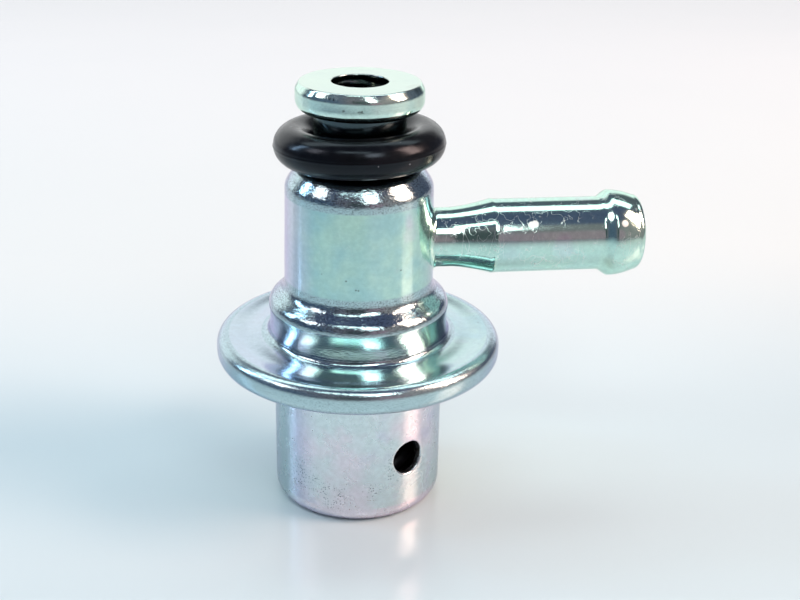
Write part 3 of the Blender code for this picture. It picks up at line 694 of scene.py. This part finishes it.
def wall_radius(height):
    """Outer radius of the drawn cylinder at a height, with its slight draft."""
    shell = settings()[0]
    foot = dish_z() + shell.step_height
    top = BODY_TOP_Z - shell.shoulder_drop
    draft = (shell.top_radius - shell.foot_radius) / (top - foot)
    return shell.foot_radius + draft * (height - foot)


# How far the shoulder's slope bulges, in degrees to either side of its lean
SHOULDER_FLEX = 5.0


def upper_body_path(rows):
    """Outer side of the body from its top hole out, down and round the rim, with weights."""
    shell, fittings, _ = settings()
    dish = dish_z()
    slope = shell.flare_angle
    bends = shell.flare_top_bend + shell.flare_foot_bend
    reach = shell.step_radius - shell.foot_radius - bends * (1.0 - math.cos(slope))
    step_top = dish + shell.step_height
    cylinder_foot = step_top + bends * math.sin(slope) + reach / math.tan(slope)
    flare_top = (shell.foot_radius + shell.flare_top_bend, cylinder_foot)
    flare_foot = (shell.step_radius - shell.flare_foot_bend, step_top)
    step_foot = (shell.step_radius + shell.step_foot_bend, dish + shell.step_foot_bend)
    rim_top = (shell.rim_radius - shell.rim_bend, dish - shell.rim_bend)
    lip_z = CUP_FLANGE_Z - 2.0 * shell.sheet - GAP
    rim_foot = (rim_top[0], lip_z + shell.rim_bend)

    wall_top = (shell.top_radius, BODY_TOP_Z - shell.shoulder_drop)
    lean = math.degrees(shell.shoulder_lean)
    low, high = lean - SHOULDER_FLEX, lean + SHOULDER_FLEX
    slope_radius = shell.shoulder_slope / math.radians(high - low)
    shoulder_foot = (wall_top[0] - shell.shoulder_foot_bend, wall_top[1])
    shoulder_slope = arc(shoulder_foot, shell.shoulder_foot_bend - slope_radius, low, low, 1)[0]
    shoulder = arc(shoulder_slope, slope_radius - shell.shoulder_bend, high, high, 1)[0]

    return weighted(
        ([(fittings.pipe + GAP, shoulder[1] + shell.shoulder_bend)], 0.4),
        (arc(shoulder, shell.shoulder_bend, 90.0, high, rows), 1.0),
        (arc(shoulder_slope, slope_radius, high, low, rows), 1.0),
        (arc(shoulder_foot, shell.shoulder_foot_bend, low, 0.0, rows), 1.0),
        (straight(wall_top, (shell.foot_radius, cylinder_foot), rows), 0.1),
        (arc(flare_top, shell.flare_top_bend, 180.0, 180.0 + math.degrees(slope), rows), 1.0),
        (arc(flare_foot, shell.flare_foot_bend, math.degrees(slope), 0.0, rows), 1.0),
        (straight((shell.step_radius, step_top), (shell.step_radius, step_foot[1]), rows,
                  shell.step_waist), 0.22),
        (arc(step_foot, shell.step_foot_bend, 180.0, 270.0, rows), 0.6),
        (straight((step_foot[0], dish), (rim_top[0], dish), rows - 1, shell.dish_dip, 2.0), 0.2),
        (arc(rim_top, shell.rim_bend, 90.0, 0.0, rows), 0.6),
        (arc(rim_foot, shell.rim_bend, 0.0, -90.0, rows), 0.5),
        ([(rim_foot[0] - shell.lip, lip_z)], 0.3))


class REGULATOR_OT_upper_body(bpy.types.Operator):
    """Make the drawn upper body with its flare, step, dished flange and rolled rim"""

    bl_idname = "regulator.upper_body"
    bl_label = "Upper Body"

    def execute(self, context):
        inner = offset_side(upper_body_path(BEND_ROWS // 3), settings()[0].sheet)
        body = turned("drawn_upper_body", upper_body_path(BEND_ROWS) + inner[::-1])
        waver(body, 5.0, 0.012, 1.3)
        dress(body, drawn_zinc_plate(), HOUSING, "upper_body")
        return {"FINISHED"}


# The window in the cup's wall that is filled with rings round the vent hole: its rows, half its
# columns, and its half height as a multiple of the hole's radius
WINDOW_ROWS = 24
WINDOW_HALF = 14
WINDOW_REACH = 1.75


def cup_outlines(heights):
    """Outer and inner side of the cup, each with the row where the window's heights start."""
    shell = settings()[0]
    flange_under = CUP_FLANGE_Z - shell.sheet
    flange_bend = 0.9 * MM
    flange_radius = shell.rim_radius - shell.rim_bend - GAP
    bend = (shell.cup_radius + flange_bend, flange_under - flange_bend)
    corner = (shell.cup_radius - shell.cup_corner, shell.cup_corner)
    wall, inner_wall = shell.cup_radius, shell.cup_radius - shell.sheet
    below = (
        ([(0.0, 0.0)], 0.0), (straight((0.0, 0.0), (corner[0], 0.0), 6), 0.1),
        (arc(corner, shell.cup_corner, -90.0, 0.0), 0.6),
        (straight((wall, shell.cup_corner), (wall, heights[0]), 4), 0.1))
    outer = weighted(
        *below, ([(wall, height) for height in heights], 0.1),
        (straight((wall, heights[-1]), (wall, bend[1]), 8), 0.1),
        (arc(bend, flange_bend, 180.0, 90.0), 0.5), ([(flange_radius, flange_under)], 0.2))
    above = (
        ([(flange_radius, CUP_FLANGE_Z)], 0.2),
        (arc(bend, flange_bend + shell.sheet, 90.0, 180.0, 8), 0.2))
    inner = weighted(
        *above, ([(inner_wall, height) for height in reversed(heights)], 0.0),
        (arc(corner, shell.cup_corner - shell.sheet, 0.0, -90.0, 8), 0.0),
        ([(0.0, shell.sheet)], 0.0))
    return outer, len(weighted(*below)), inner, len(weighted(*above))


def vent_rings():
    """Rings from the window's border to the hole, through it and out to the border again.

    Each is (share of the border's shape, hole radius, wall radius, weight).
    """
    shell = settings()[0]
    radius, edge, wall = shell.vent_radius, shell.vent_edge, shell.cup_radius
    inner_wall = wall - shell.sheet
    rings = [(share, radius + edge, wall, 0.1) for share in (0.75, 0.5, 0.28, 0.12)]
    for angle in [math.radians(15.0 * index) for index in range(7)]:
        rings.append((
            0.0, radius + edge * (1.0 - math.sin(angle)),
            wall - edge * (1.0 - math.cos(angle)), 0.0))
    for index in range(1, 4):
        place = inner_wall + (wall - edge - inner_wall) * (1.0 - index / 3.0)
        rings.append((0.0, radius, place, 0.0))
    return rings + [(share, radius, inner_wall, 0.0) for share in (0.25, 0.5, 0.75)]


def cup_mesh(name):
    """The spring cup: a turned shell whose wall has a window filled in round the vent hole."""
    shell = settings()[0]
    steps = FINE_STEPS
    reach = shell.vent_radius * WINDOW_REACH
    heights = [
        shell.vent_height - reach + 2.0 * reach * row / WINDOW_ROWS
        for row in range(WINDOW_ROWS + 1)]
    outer, outer_first, inner, inner_first = cup_outlines(heights)
    inner_first += len(outer)
    rows = outer + inner
    middle = round(shell.vent_angle / math.tau * steps)
    left, right = middle - WINDOW_HALF, middle + WINDOW_HALF

    points, weights, index_of = [], [], {}
    for row, (radius, height, weight) in enumerate(rows):
        for step in range(steps):
            if step == 0 or radius > 0.0:
                angle = shell.vent_angle + math.tau * (step - middle) / steps
                points.append(on_circle(radius, angle, height))
                weights.append(weight)
            index_of[row, step] = len(points) - 1

    holes = {step % steps for step in range(left, right)}
    faces = []
    for row in range(len(rows) - 1):
        in_window = any(first <= row < first + WINDOW_ROWS for first in (outer_first, inner_first))
        for step in range(steps):
            if not (in_window and step in holes):
                after = (step + 1) % steps
                corners = [
                    index_of[row, step], index_of[row, after],
                    index_of[row + 1, after], index_of[row + 1, step]]
                faces.append(list(dict.fromkeys(corners)))

    border = [(step, 0) for step in range(left, right)]
    border += [(right, row) for row in range(WINDOW_ROWS)]
    border += [(step, WINDOW_ROWS) for step in range(right, left, -1)]
    border += [(left, row) for row in range(WINDOW_ROWS, 0, -1)]
    loops = [[index_of[outer_first + row, step % steps] for step, row in border]]
    for share, hole_radius, wall, weight in vent_rings():
        loops.append(range(len(points), len(points) + len(border)))
        for step, row in border:
            square = Vector((
                (step - middle) * math.tau / steps * shell.cup_radius,
                heights[row] - shell.vent_height))
            place = (square.normalized() * hole_radius).lerp(square, share)
            angle = shell.vent_angle + place.x / shell.cup_radius
            points.append(on_circle(wall, angle, shell.vent_height + place.y))
            weights.append(weight)
    loops.append([index_of[inner_first + WINDOW_ROWS - row, step % steps] for step, row in border])
    for low, high in zip(loops[:-1], loops[1:]):
        for index in range(len(border)):
            after = (index + 1) % len(border)
            faces.append((low[index], low[after], high[after], high[index]))
    return mesh_object(name, points, faces, weights)


class REGULATOR_OT_spring_cup(bpy.types.Operator):
    """Make the drawn spring cup with its punched vent hole"""

    bl_idname = "regulator.spring_cup"
    bl_label = "Spring Cup"

    def execute(self, context):
        cup = cup_mesh("drawn_spring_cup")
        dress(cup, cup_zinc_plate(), HOUSING, "spring_cup")
        return {"FINISHED"}


# Dents in the collar: azimuth in degrees, depth below its face, reach and depth in mm
COLLAR_DENTS = ((-30.0, 0.9, 2.6, 0.16), (-8.0, 1.5, 2.2, 0.10))


class REGULATOR_OT_top_fitting(bpy.types.Operator):
    """Make the turned top fitting: collar, neck and pipe, with the dents in its collar"""

    bl_idname = "regulator.top_fitting"
    bl_label = "Top Fitting"

    def execute(self, context):
        fittings = settings()[1]
        bore, neck, pipe, collar = fittings.bore, fittings.neck, fittings.pipe, fittings.collar
        top, seat = COLLAR_TOP_Z, BODY_TOP_Z + GAP
        foot = seat + fittings.neck_length
        corner, swell, low = (
            fittings.collar_corner, fittings.collar_swell, fittings.collar_foot_edge)
        small = 0.12 * MM
        lean = fittings.collar_bevel_lean
        degrees = math.degrees(lean)
        across, down = (fittings.collar_bevel * way(lean) for way in (math.sin, math.cos))
        swell_z = top - corner * (1.0 - math.sin(lean)) - down - swell * math.sin(lean)
        bevel_end = arc((collar - swell, swell_z), swell, degrees, degrees, 1)[0]
        bevel_start = (bevel_end[0] - across, bevel_end[1] + down)
        face_end = bevel_start[0] - corner * math.cos(lean)
        fitting = turned("turned_top_fitting", weighted(
            (arc((bore + small, top - small), small, 180.0, 90.0, 6), 0.2),
            (straight((bore, top), (face_end, top), 10), 0.1),
            (arc((face_end, top - corner), corner, 90.0, degrees, 12), 0.7),
            (straight(bevel_start, bevel_end, 6), 0.8),
            (arc((collar - swell, swell_z), swell, degrees, 0.0, 14), 0.6),
            (straight((collar, swell_z), (collar, foot + low), 8), 0.4),
            (arc((collar - low, foot + low), low, 0.0, -90.0, 16), 0.5),
            (arc((neck + small, foot - small), small, 90.0, 180.0, 6), 0.2),
            (straight((neck, foot), (neck, seat), 20), 0.3),
            ([(neck, seat), (pipe, seat)], 0.1),
            ([(pipe, PIPE_END_Z), (bore, PIPE_END_Z)], 0.0),
            (straight((bore, PIPE_END_Z), (bore, top - small), 40), 0.0)))
        waver(fitting, 2.6, 0.02, 4.1)
        for azimuth, drop, reach, depth in COLLAR_DENTS:
            side = direction(azimuth, 0.0)
            centre = side * collar + Vector((0.0, 0.0, top - drop * MM))
            dent(fitting, centre, reach * MM, side * -depth * MM)
        dress(fitting, turned_zinc_plate(), HOUSING, "top_fitting")
        return {"FINISHED"}


def nipple_profile():
    """Outer side of the nipple from its taper to its tip, as (radius, distance, weight)."""
    fittings = settings()[1]
    start, stem, bead = fittings.stem_start, fittings.stem, fittings.bead
    stem_end = start + fittings.stem_length
    crest = stem_end + fittings.bead_rise
    cone_end = NIPPLE_TIP_X - fittings.tip_bend
    settled = start + 0.5 * MM
    shares = [index / 16.0 for index in range(17)]
    taper = [
        (fittings.root + (stem - fittings.root) * share ** 1.5,
         start - fittings.taper * (1.0 - share)) for share in shares]
    rise = [
        (stem + (bead - stem) * share * share * (3.0 - 2.0 * share),
         stem_end + (crest - stem_end) * share) for share in shares]
    cone = [
        (fittings.tip + (bead - fittings.tip) * (1.0 - share ** 1.9),
         crest + (cone_end - crest) * share) for share in [index / 12.0 for index in range(1, 13)]]
    return weighted(
        (taper, 0.5), ([(stem + 0.05 * MM, start + 0.12 * MM)], 0.6), ([(stem, settled)], 0.3),
        (straight((stem, settled), (stem, stem_end), 23), 0.3), (rise, 0.6), (cone, 0.5),
        (arc((fittings.tip - fittings.tip_bend, cone_end), fittings.tip_bend, 0.0, 90.0, 10), 0.4))


class REGULATOR_OT_hose_nipple(bpy.types.Operator):
    """Make the hose nipple with its taper, bead, bore and the braze fillet at the body"""

    bl_idname = "regulator.hose_nipple"
    bl_label = "Hose Nipple"

    def execute(self, context):
        fittings = settings()[1]
        bore, root, braze = fittings.nipple_bore, fittings.root, fittings.braze
        axis_z = dish_z() + fittings.nipple_rise
        sunk, edge, depth, fillet_rows = 0.12 * MM, 0.15 * MM, 8.0 * MM, 12

        def ring(radius, weight, rise=0.0, distance=0.0, share=0.0):
            """A ring that stands rise off the body's wall, or a share of the way to a distance."""
            points = []
            for angle in around(NIPPLE_STEPS):
                y, z = radius * math.cos(angle), axis_z + radius * math.sin(angle)
                wall = math.sqrt(wall_radius(z) ** 2 - y ** 2) + rise
                points.append(Vector((wall * (1.0 - share) + distance * share, y, z)))
            return points, weight

        rings = [ring(bore, 0.0, -4.0 * sunk), ring(root + braze, 0.0, -sunk)]
        for index in range(fillet_rows + 1):
            angle = math.radians(90.0 * (1.0 - index / fillet_rows))
            out, up = braze * (1.0 - math.cos(angle)), braze * (1.0 - math.sin(angle))
            rings.append(ring(root + out, 0.8, up))
        profile = nipple_profile()
        rings += [ring(root, 0.4, braze, profile[0][1], share) for share in (0.25, 0.5, 0.75)]
        rings += [ring(radius, weight, 0.0, place, 1.0) for radius, place, weight in profile]
        rings += [
            ring(bore + edge, 0.2, 0.0, NIPPLE_TIP_X, 1.0),
            ring(bore, 0.2, 0.0, NIPPLE_TIP_X - edge, 1.0),
            ring(bore, 0.0, 0.0, NIPPLE_TIP_X - depth, 1.0)]
        nipple = skinned("turned_hose_nipple", rings)
        dress(nipple, nipple_zinc_plate(), HOUSING, "hose_nipple")
        return {"FINISHED"}


# Geometry node trees


def new_tree(name, inputs):
    """A geometry node group with named float inputs: its graph and the inputs' values."""
    tree = bpy.data.node_groups.new(name, "GeometryNodeTree")
    tree.interface.new_socket("Geometry", in_out="INPUT", socket_type="NodeSocketGeometry")
    for socket_name in inputs:
        tree.interface.new_socket(socket_name, in_out="INPUT", socket_type="NodeSocketFloat")
    tree.interface.new_socket("Geometry", in_out="OUTPUT", socket_type="NodeSocketGeometry")
    return Graph(tree), tree.nodes.new("NodeGroupInput").outputs


def end_tree(graph, geometry, material):
    """Ends a tree in Realize Instances and Set Material."""
    real = graph.add("GeometryNodeRealizeInstances", geometry)
    smooth = graph.add("GeometryNodeSetShadeSmooth", real)
    coated = graph.add("GeometryNodeSetMaterial", smooth, Material=material)
    leave = graph.tree.nodes.new("NodeGroupOutput")
    graph.tree.links.new(coated, leave.inputs[0])
    return graph.tree


def run_tree(name, tree, values):
    """A plain mesh object made by a tree with these input values."""
    holder = link_object(name + "_tree", bpy.data.meshes.new(name + "_tree"))
    modifier = holder.modifiers.new("tree", "NODES")
    modifier.node_group = tree
    for item in tree.interface.items_tree:
        if item.item_type == "SOCKET" and item.in_out == "INPUT" and item.name in values:
            modifier[item.identifier] = float(values[item.name])
    holder.update_tag()
    graph = bpy.context.evaluated_depsgraph_get()
    mesh = bpy.data.meshes.new_from_object(holder.evaluated_get(graph))
    mesh.name = name
    holder.modifiers.clear()
    bpy.data.objects.remove(holder)
    if not mesh.polygons:
        raise RuntimeError("the tree of " + name + " made no faces")
    return link_object(name, mesh)


def coil_tree(material):
    """A compression spring: a wire swept along a helix with closed ends that are ground flat."""
    graph, value = new_tree("Compression Spring", (
        "Radius", "Wire", "Foot", "Head", "Active Turns", "End Turns", "End Pitch",
        "Start Angle", "Steps", "Seat", "Top"))
    add = graph.add
    ends, pitch = value["End Turns"], value["End Pitch"]
    total = add("MULTIPLY_ADD", ends, 2.0, value["Active Turns"])
    count = add("FunctionNodeFloatToInt", add("MULTIPLY", total, value["Steps"]))
    line = add("GeometryNodeMeshLine", count)
    order = add("DIVIDE", add("GeometryNodeInputIndex"), add("SUBTRACT", count, 1.0))
    turns = add("MULTIPLY", order, total)

    rise = add("SUBTRACT", value["Head"], value["Foot"])
    active_rise = add("SUBTRACT", rise, add("MULTIPLY", add("MULTIPLY", ends, pitch), 2.0))
    low = add("MULTIPLY", add("MINIMUM", turns, ends), pitch)
    into = add("DIVIDE", add("SUBTRACT", turns, ends), value["Active Turns"], use_clamp=True)
    over = add("SUBTRACT", turns, add("SUBTRACT", total, ends))
    high = add("MULTIPLY", add("MAXIMUM", over, 0.0), pitch)
    height = add(
        "ADD", add("MULTIPLY_ADD", into, active_rise, low), add("ADD", high, value["Foot"]))

    angle = add("MULTIPLY_ADD", turns, math.tau, value["Start Angle"])
    place = add(
        "point", add("MULTIPLY", add("COSINE", angle), value["Radius"]),
        add("MULTIPLY", add("SINE", angle), value["Radius"]), height)
    helix = add("GeometryNodeSetPosition", line, Position=place)
    section = add("GeometryNodeCurvePrimitiveCircle", 20, Radius=value["Wire"])
    wire = add(
        "GeometryNodeCurveToMesh", add("GeometryNodeMeshToCurve", helix), section, Fill_Caps=True)
    here = add("split", add("GeometryNodeInputPosition")).node.outputs
    ground = add("MINIMUM", add("MAXIMUM", here[2], value["Seat"]), value["Top"])
    flat = add("point", here[0], here[1], ground)
    return end_tree(graph, add("GeometryNodeSetPosition", wire, Position=flat), material)


class REGULATOR_OT_springs(bpy.types.Operator):
    """Make the main spring, which shows through the vent hole, and the small ball spring"""

    bl_idname = "regulator.springs"
    bl_label = "Springs"

    def execute(self, context):
        fittings = settings()[1]
        tree = coil_tree(spring_wire())
        wire, ground = fittings.spring_wire, 0.6 * MM
        spring = run_tree("main_coil_spring", tree, {
            "Radius": fittings.spring_radius, "Wire": wire,
            "Foot": SPRING_FOOT_Z + wire - ground, "Head": SPRING_HEAD_Z - wire + ground,
            "Active Turns": fittings.spring_turns, "End Turns": 1.0,
            "End Pitch": 2.0 * wire + GAP, "Start Angle": fittings.spring_start,
            "Steps": fittings.coil_steps, "Seat": SPRING_FOOT_Z, "Top": SPRING_HEAD_Z})
        dress(spring, spring_wire(), HOUSING, "main_spring")
        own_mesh(spring)
        low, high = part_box("ball_spring")
        wire = 0.15 * MM
        small = run_tree("ball_coil_spring", tree, {
            "Radius": high.x - wire, "Wire": wire, "Foot": low.z + wire, "Head": high.z - wire,
            "Active Turns": 4.0, "End Turns": 1.0, "End Pitch": 0.4 * MM, "Start Angle": 0.0,
            "Steps": 40.0, "Seat": low.z, "Top": high.z})
        dress(small, spring_wire(), VALVE, "ball_spring")
        return {"FINISHED"}


def ring_tree(material):
    """An o-ring: a round section swept round a circle, with the moulding line as a low fin."""
    graph, value = new_tree("Moulded Ring", (
        "Ring Radius", "Section", "Flash", "Flash Width", "Tilt", "High Side", "Lift"))
    add = graph.add
    circle = add("GeometryNodeCurvePrimitiveCircle", 320, Radius=value["Ring Radius"])
    section = add("GeometryNodeCurvePrimitiveCircle", 120, Radius=value["Section"])
    ring = add("GeometryNodeCurveToMesh", circle, section)
    here = add("GeometryNodeInputPosition")
    off = add(
        "DIVIDE", add("ABSOLUTE", add("split", here, out="Z")), value["Flash Width"])
    fin = add("MULTIPLY", add("SUBTRACT", 1.0, off, use_clamp=True), value["Flash"])
    uneven = add("MULTIPLY", add("ShaderNodeTexNoise", here, per_mm(2.2)), 2.0)
    push = add(
        "vector", add("GeometryNodeInputNormal"), operation="SCALE",
        Scale=add("MULTIPLY", fin, uneven))
    moulded = add("GeometryNodeSetPosition", ring, Offset=push)
    leaning = add("point", 0.0, add("MULTIPLY", value["Tilt"], -1.0), value["High Side"])
    placed = add(
        "GeometryNodeTransform", moulded, Translation=add("point", 0.0, 0.0, value["Lift"]),
        Rotation=leaning)
    return end_tree(graph, placed, material)


class REGULATOR_OT_o_ring(bpy.types.Operator):
    """Make the rubber ring that lies loose and slightly tilted on the neck"""

    bl_idname = "regulator.o_ring"
    bl_label = "Rubber Ring"

    def execute(self, context):
        fittings = settings()[1]
        low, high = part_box("o_ring")
        ring = run_tree("rubber_o_ring", ring_tree(moulded_nitrile()), {
            "Ring Radius": fittings.neck + fittings.ring_play + fittings.ring_section,
            "Section": fittings.ring_section, "Flash": fittings.flash,
            "Flash Width": 0.09 * MM, "Tilt": fittings.ring_tilt,
            "High Side": fittings.ring_high_side, "Lift": (low.z + high.z) / 2.0})
        dress(ring, moulded_nitrile(), HOUSING, "o_ring")
        return {"FINISHED"}


class REGULATOR_OT_diaphragm(bpy.types.Operator):
    """Make the rubber diaphragm, which bends between its clamped rim and its hub"""

    bl_idname = "regulator.diaphragm"
    bl_label = "Diaphragm"

    def execute(self, context):
        shell = settings()[0]
        low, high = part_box("diaphragm")
        half_sheet, roll, roll_angle = 0.2 * MM, 1.0 * MM, 60.0
        middle, hub = high.z - half_sheet, low.z + half_sheet
        outer = (8.7 * MM, middle - roll)
        inner = (outer[0] - 2.0 * roll * math.sin(math.radians(roll_angle)), hub + roll)
        shank = 2.1 * MM + GAP
        path = weighted(
            ([(shell.rim_radius - shell.rim_bend - GAP, middle)], 0.0),
            (arc(outer, roll, 90.0, 90.0 + roll_angle), 0.0),
            (arc(inner, roll, 270.0 + roll_angle, 270.0), 0.0),
            (straight((inner[0], hub), (shank, hub), 8), 0.0), ([(shank, hub)], 0.0))
        upper, lower = offset_side(path, half_sheet), offset_side(path, -half_sheet)
        rubber = turned("fabric_diaphragm", upper + lower[::-1], 128)
        rubber.data.materials.append(coated_fabric())
        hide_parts("diaphragm")
        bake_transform(rubber)
        return {"FINISHED"}


class REGULATOR_OT_valve_parts(bpy.types.Operator):
    """Finish the valve's hidden pieces, which keep the packed solids' shapes"""

    bl_idname = "regulator.valve_parts"
    bl_label = "Valve Parts"

    def execute(self, context):
        finishes = {
            "valve_holder": turned_zinc_plate, "spring_plate": drawn_zinc_plate,
            "valve_plate": ground_stainless, "valve_ball": ground_stainless,
            "valve_retainer": ground_stainless, "valve_seat": ground_stainless}
        for node, make in finishes.items():
            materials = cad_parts[node].data.materials
            materials.clear()
            materials.append(make())
        return {"FINISHED"}


# Stage: floor, lights, surroundings and camera


def direction(azimuth, elevation):
    """Unit vector of a direction in degrees, azimuth 0 on the camera's side of the part."""
    a, e = math.radians(azimuth), math.radians(elevation)
    return Vector((math.sin(a) * math.cos(e), -math.cos(a) * math.cos(e), math.sin(e)))


# Name, azimuth, elevation, width and height in degrees, distance, radiance and colour of each light
SOFTBOXES = (
    ("overhead_strip", 174.0, 71.0, 80.0, 19.0, 0.45, 1.9, "#F0FFFF"),
    ("warm_key", 73.0, 33.0, 19.0, 34.0, 0.45, 10.5, "#FFD2C0"),
    ("front_window", 13.5, 42.0, 16.0, 16.0, 0.13, 4.8, "#FFFFFF"),
    ("high_window", -18.0, 58.0, 34.0, 8.0, 0.45, 3.0, "#F4FFFA"),
    ("left_window", -80.0, 40.0, 15.0, 18.0, 0.45, 3.4, "#FFF2F4"),
    ("blue_gap", -107.0, 30.0, 6.0, 28.0, 0.45, 9.0, "#C6E4FF"),
)


def softbox(name, azimuth, elevation, wide, high, distance, radiance, tint):
    """A soft rectangular light that faces the object; its sizes are degrees as seen from there."""
    back = direction(azimuth, elevation)
    lamp = bpy.data.lights.new(name, "AREA")
    lamp.shape = "RECTANGLE"
    lamp.size = 2.0 * distance * math.tan(math.radians(wide) / 2.0)
    lamp.size_y = 2.0 * distance * math.tan(math.radians(high) / 2.0)
    lamp.energy = 4.0 * lamp.size * lamp.size_y * radiance
    lamp.color = linear(tint)
    light = link_object(name, lamp)
    light.location = Vector((0.0, 0.0, 25.0 * MM)) + back * distance
    light.rotation_mode = "QUATERNION"
    light.rotation_quaternion = (-back).to_track_quat("-Z", "Y")
    light.visible_camera = False


# The studio as the plating mirrors it, each patch laid over those before it: azimuth from the
# camera's, elevation, inner and outer edge in degrees, and radiance
ROOM = {
    "blue left": (-90.0, 0.0, 35.0, 75.0, (0.10, 0.13, 0.20)),
    "warmer right": (80.0, 0.0, 35.0, 75.0, (0.34, 0.28, 0.29)),
    "mauve patch": (24.0, 12.0, 7.0, 18.0, (0.40, 0.26, 0.31)),
    "dark camera": (-2.0, 20.0, 9.0, 20.0, (0.08, 0.09, 0.10)),
    "navy overhead": (0.0, 90.0, 38.7, 50.2, (0.09, 0.10, 0.18)),
    "dark behind": (180.0, 0.0, 80.0, 95.0, (0.11, 0.12, 0.17)),
    "bright sweep": (192.0, 6.0, 40.0, 54.0, (1.22, 1.24, 1.24)),
    "gap in the sweep": (140.0, 38.0, 13.0, 27.0, (0.13, 0.13, 0.16)),
    "pale below the horizon": (0.0, -90.0, 88.85, 90.0, (0.62, 0.72, 0.74)),
}


def studio_world():
    """The room round the part: dim and mauve on the camera's side, blue at the left, warmer at
    the right, navy overhead, with a bright sweep behind. It lights matt surfaces more than it
    shows in the plating."""
    world = bpy.data.worlds.new("studio")
    bpy.context.scene.world = world
    world.use_nodes = True
    world.node_tree.nodes.clear()
    graph = Graph(world.node_tree)
    add = graph.add
    look = add("ShaderNodeTexCoord", out="Generated")
    under_ceiling = add("ramp", add("split", look, out="Z"), 0.62, 0.51)
    room = (0.19, 0.16, 0.19)
    for name, (azimuth, elevation, inner, outer, radiance) in ROOM.items():
        centre = direction(CAMERA_AZIMUTH + azimuth, elevation)
        lean = add("vector", look, centre, operation="DOT_PRODUCT")
        share = add("ramp", lean, math.cos(math.radians(outer)), math.cos(math.radians(inner)))
        if name == "bright sweep":
            share = add("MULTIPLY", share, under_ceiling)
        room = add("mix", share, room, radiance)
    diffuse = add("ShaderNodeLightPath", out="Is Diffuse Ray")
    shade = add("ShaderNodeBackground", room, add("MULTIPLY_ADD", diffuse, 0.7, 1.0))
    world.node_tree.links.new(shade, world.node_tree.nodes.new("ShaderNodeOutputWorld").inputs[0])


def pale_board():
    """Pale laminate board: smooth, near white, with a faint wet gloss that mirrors the cup. Painted
    light grades it from a darker, bluer grey near the camera to near white far behind.
    """
    look = settings()[2]
    board = Finish("pale_laminate_board", look.floor_near)
    # Painted light: the board turns from the darker, bluer near tint to near white far behind; the
    # faint blotches below are the board's own tone
    depth = board.add("split", board.where, out="Y")
    board.lay(look.floor_tint, board.add("ramp", depth, 10.0 * MM, 75.0 * MM))
    board.lay(look.floor_far, board.add("ramp", depth, 60.0 * MM, 260.0 * MM))
    board.lay(look.floor_near, board.cloud(60.0), 0.15)
    return board.done(0.2)


class REGULATOR_OT_stage(bpy.types.Operator):
    """Set the pale floor, the soft studio lights and the camera of the photograph"""

    bl_idname = "regulator.stage"
    bl_label = "Stage"

    def execute(self, context):
        scene = context.scene
        shape = bmesh.new()
        bmesh.ops.create_circle(shape, cap_ends=True, segments=96, radius=3.0)
        mesh = bpy.data.meshes.new("floor")
        shape.to_mesh(mesh)
        shape.free()
        mesh.materials.append(pale_board())
        link_object("floor", mesh)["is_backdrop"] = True
        studio_world()
        for light in SOFTBOXES:
            softbox(*light)
        camera = link_object("photo_camera", bpy.data.cameras.new("photo_camera"))
        camera.data.sensor_width = SENSOR_MM
        camera.data.lens = FOCAL_PIXELS / PHOTO_WIDTH * SENSOR_MM
        camera.data.clip_start = 0.005
        camera.data.clip_end = 10.0
        aim = CAMERA_FORWARD.to_track_quat("-Z", "Y").to_matrix().to_4x4()
        roll = Matrix.Rotation(CAMERA_ROLL, 4, "Z")
        camera.matrix_world = Matrix.Translation(CAMERA_PLACE) @ aim @ roll
        scene.camera = camera
        scene.view_settings.view_transform = "Standard"
        return {"FINISHED"}


class REGULATOR_PT_panel(bpy.types.Panel):
    """Sizes, colours and steps of the regulator"""

    bl_label = "Fuel Pressure Regulator"
    bl_idname = "REGULATOR_PT_panel"
    bl_space_type = "VIEW_3D"
    bl_region_type = "UI"
    bl_category = "Regulator"

    def draw(self, context):
        for group in settings():
            box = self.layout.box()
            box.label(text=type(group).__doc__)
            for name in type(group).__annotations__:
                box.prop(group, name)
        for operator in OPERATORS:
            self.layout.operator(operator.bl_idname)


GROUPS = {
    "regulator_shell": RegulatorShell,
    "regulator_fittings": RegulatorFittings,
    "regulator_finish": RegulatorFinish,
}
OPERATORS = (
    REGULATOR_OT_stage, REGULATOR_OT_upper_body, REGULATOR_OT_spring_cup, REGULATOR_OT_top_fitting,
    REGULATOR_OT_hose_nipple, REGULATOR_OT_o_ring, REGULATOR_OT_springs, REGULATOR_OT_diaphragm,
    REGULATOR_OT_valve_parts)


def register():
    for kind in (*GROUPS.values(), *OPERATORS, REGULATOR_PT_panel):
        bpy.utils.register_class(kind)
    for name, group in GROUPS.items():
        setattr(bpy.types.Scene, name, PointerProperty(type=group))


def unregister():
    for name in GROUPS:
        delattr(bpy.types.Scene, name)
    for kind in reversed((*GROUPS.values(), *OPERATORS, REGULATOR_PT_panel)):
        bpy.utils.unregister_class(kind)


def write_size():
    """Makes the CAD model's box and the visual model's box as plain lists, which it neither returns
    nor writes.
    """
    boxes = {"cad": CAD_BOX, "visual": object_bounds()}
    {name: [list(corner) for corner in box] for name, box in boxes.items()}


def main():
    register()
    for operator in OPERATORS:
        group, name = operator.bl_idname.split(".")
        getattr(getattr(bpy.ops, group), name)()
    write_size()


if __name__ == "__main__":
    main()
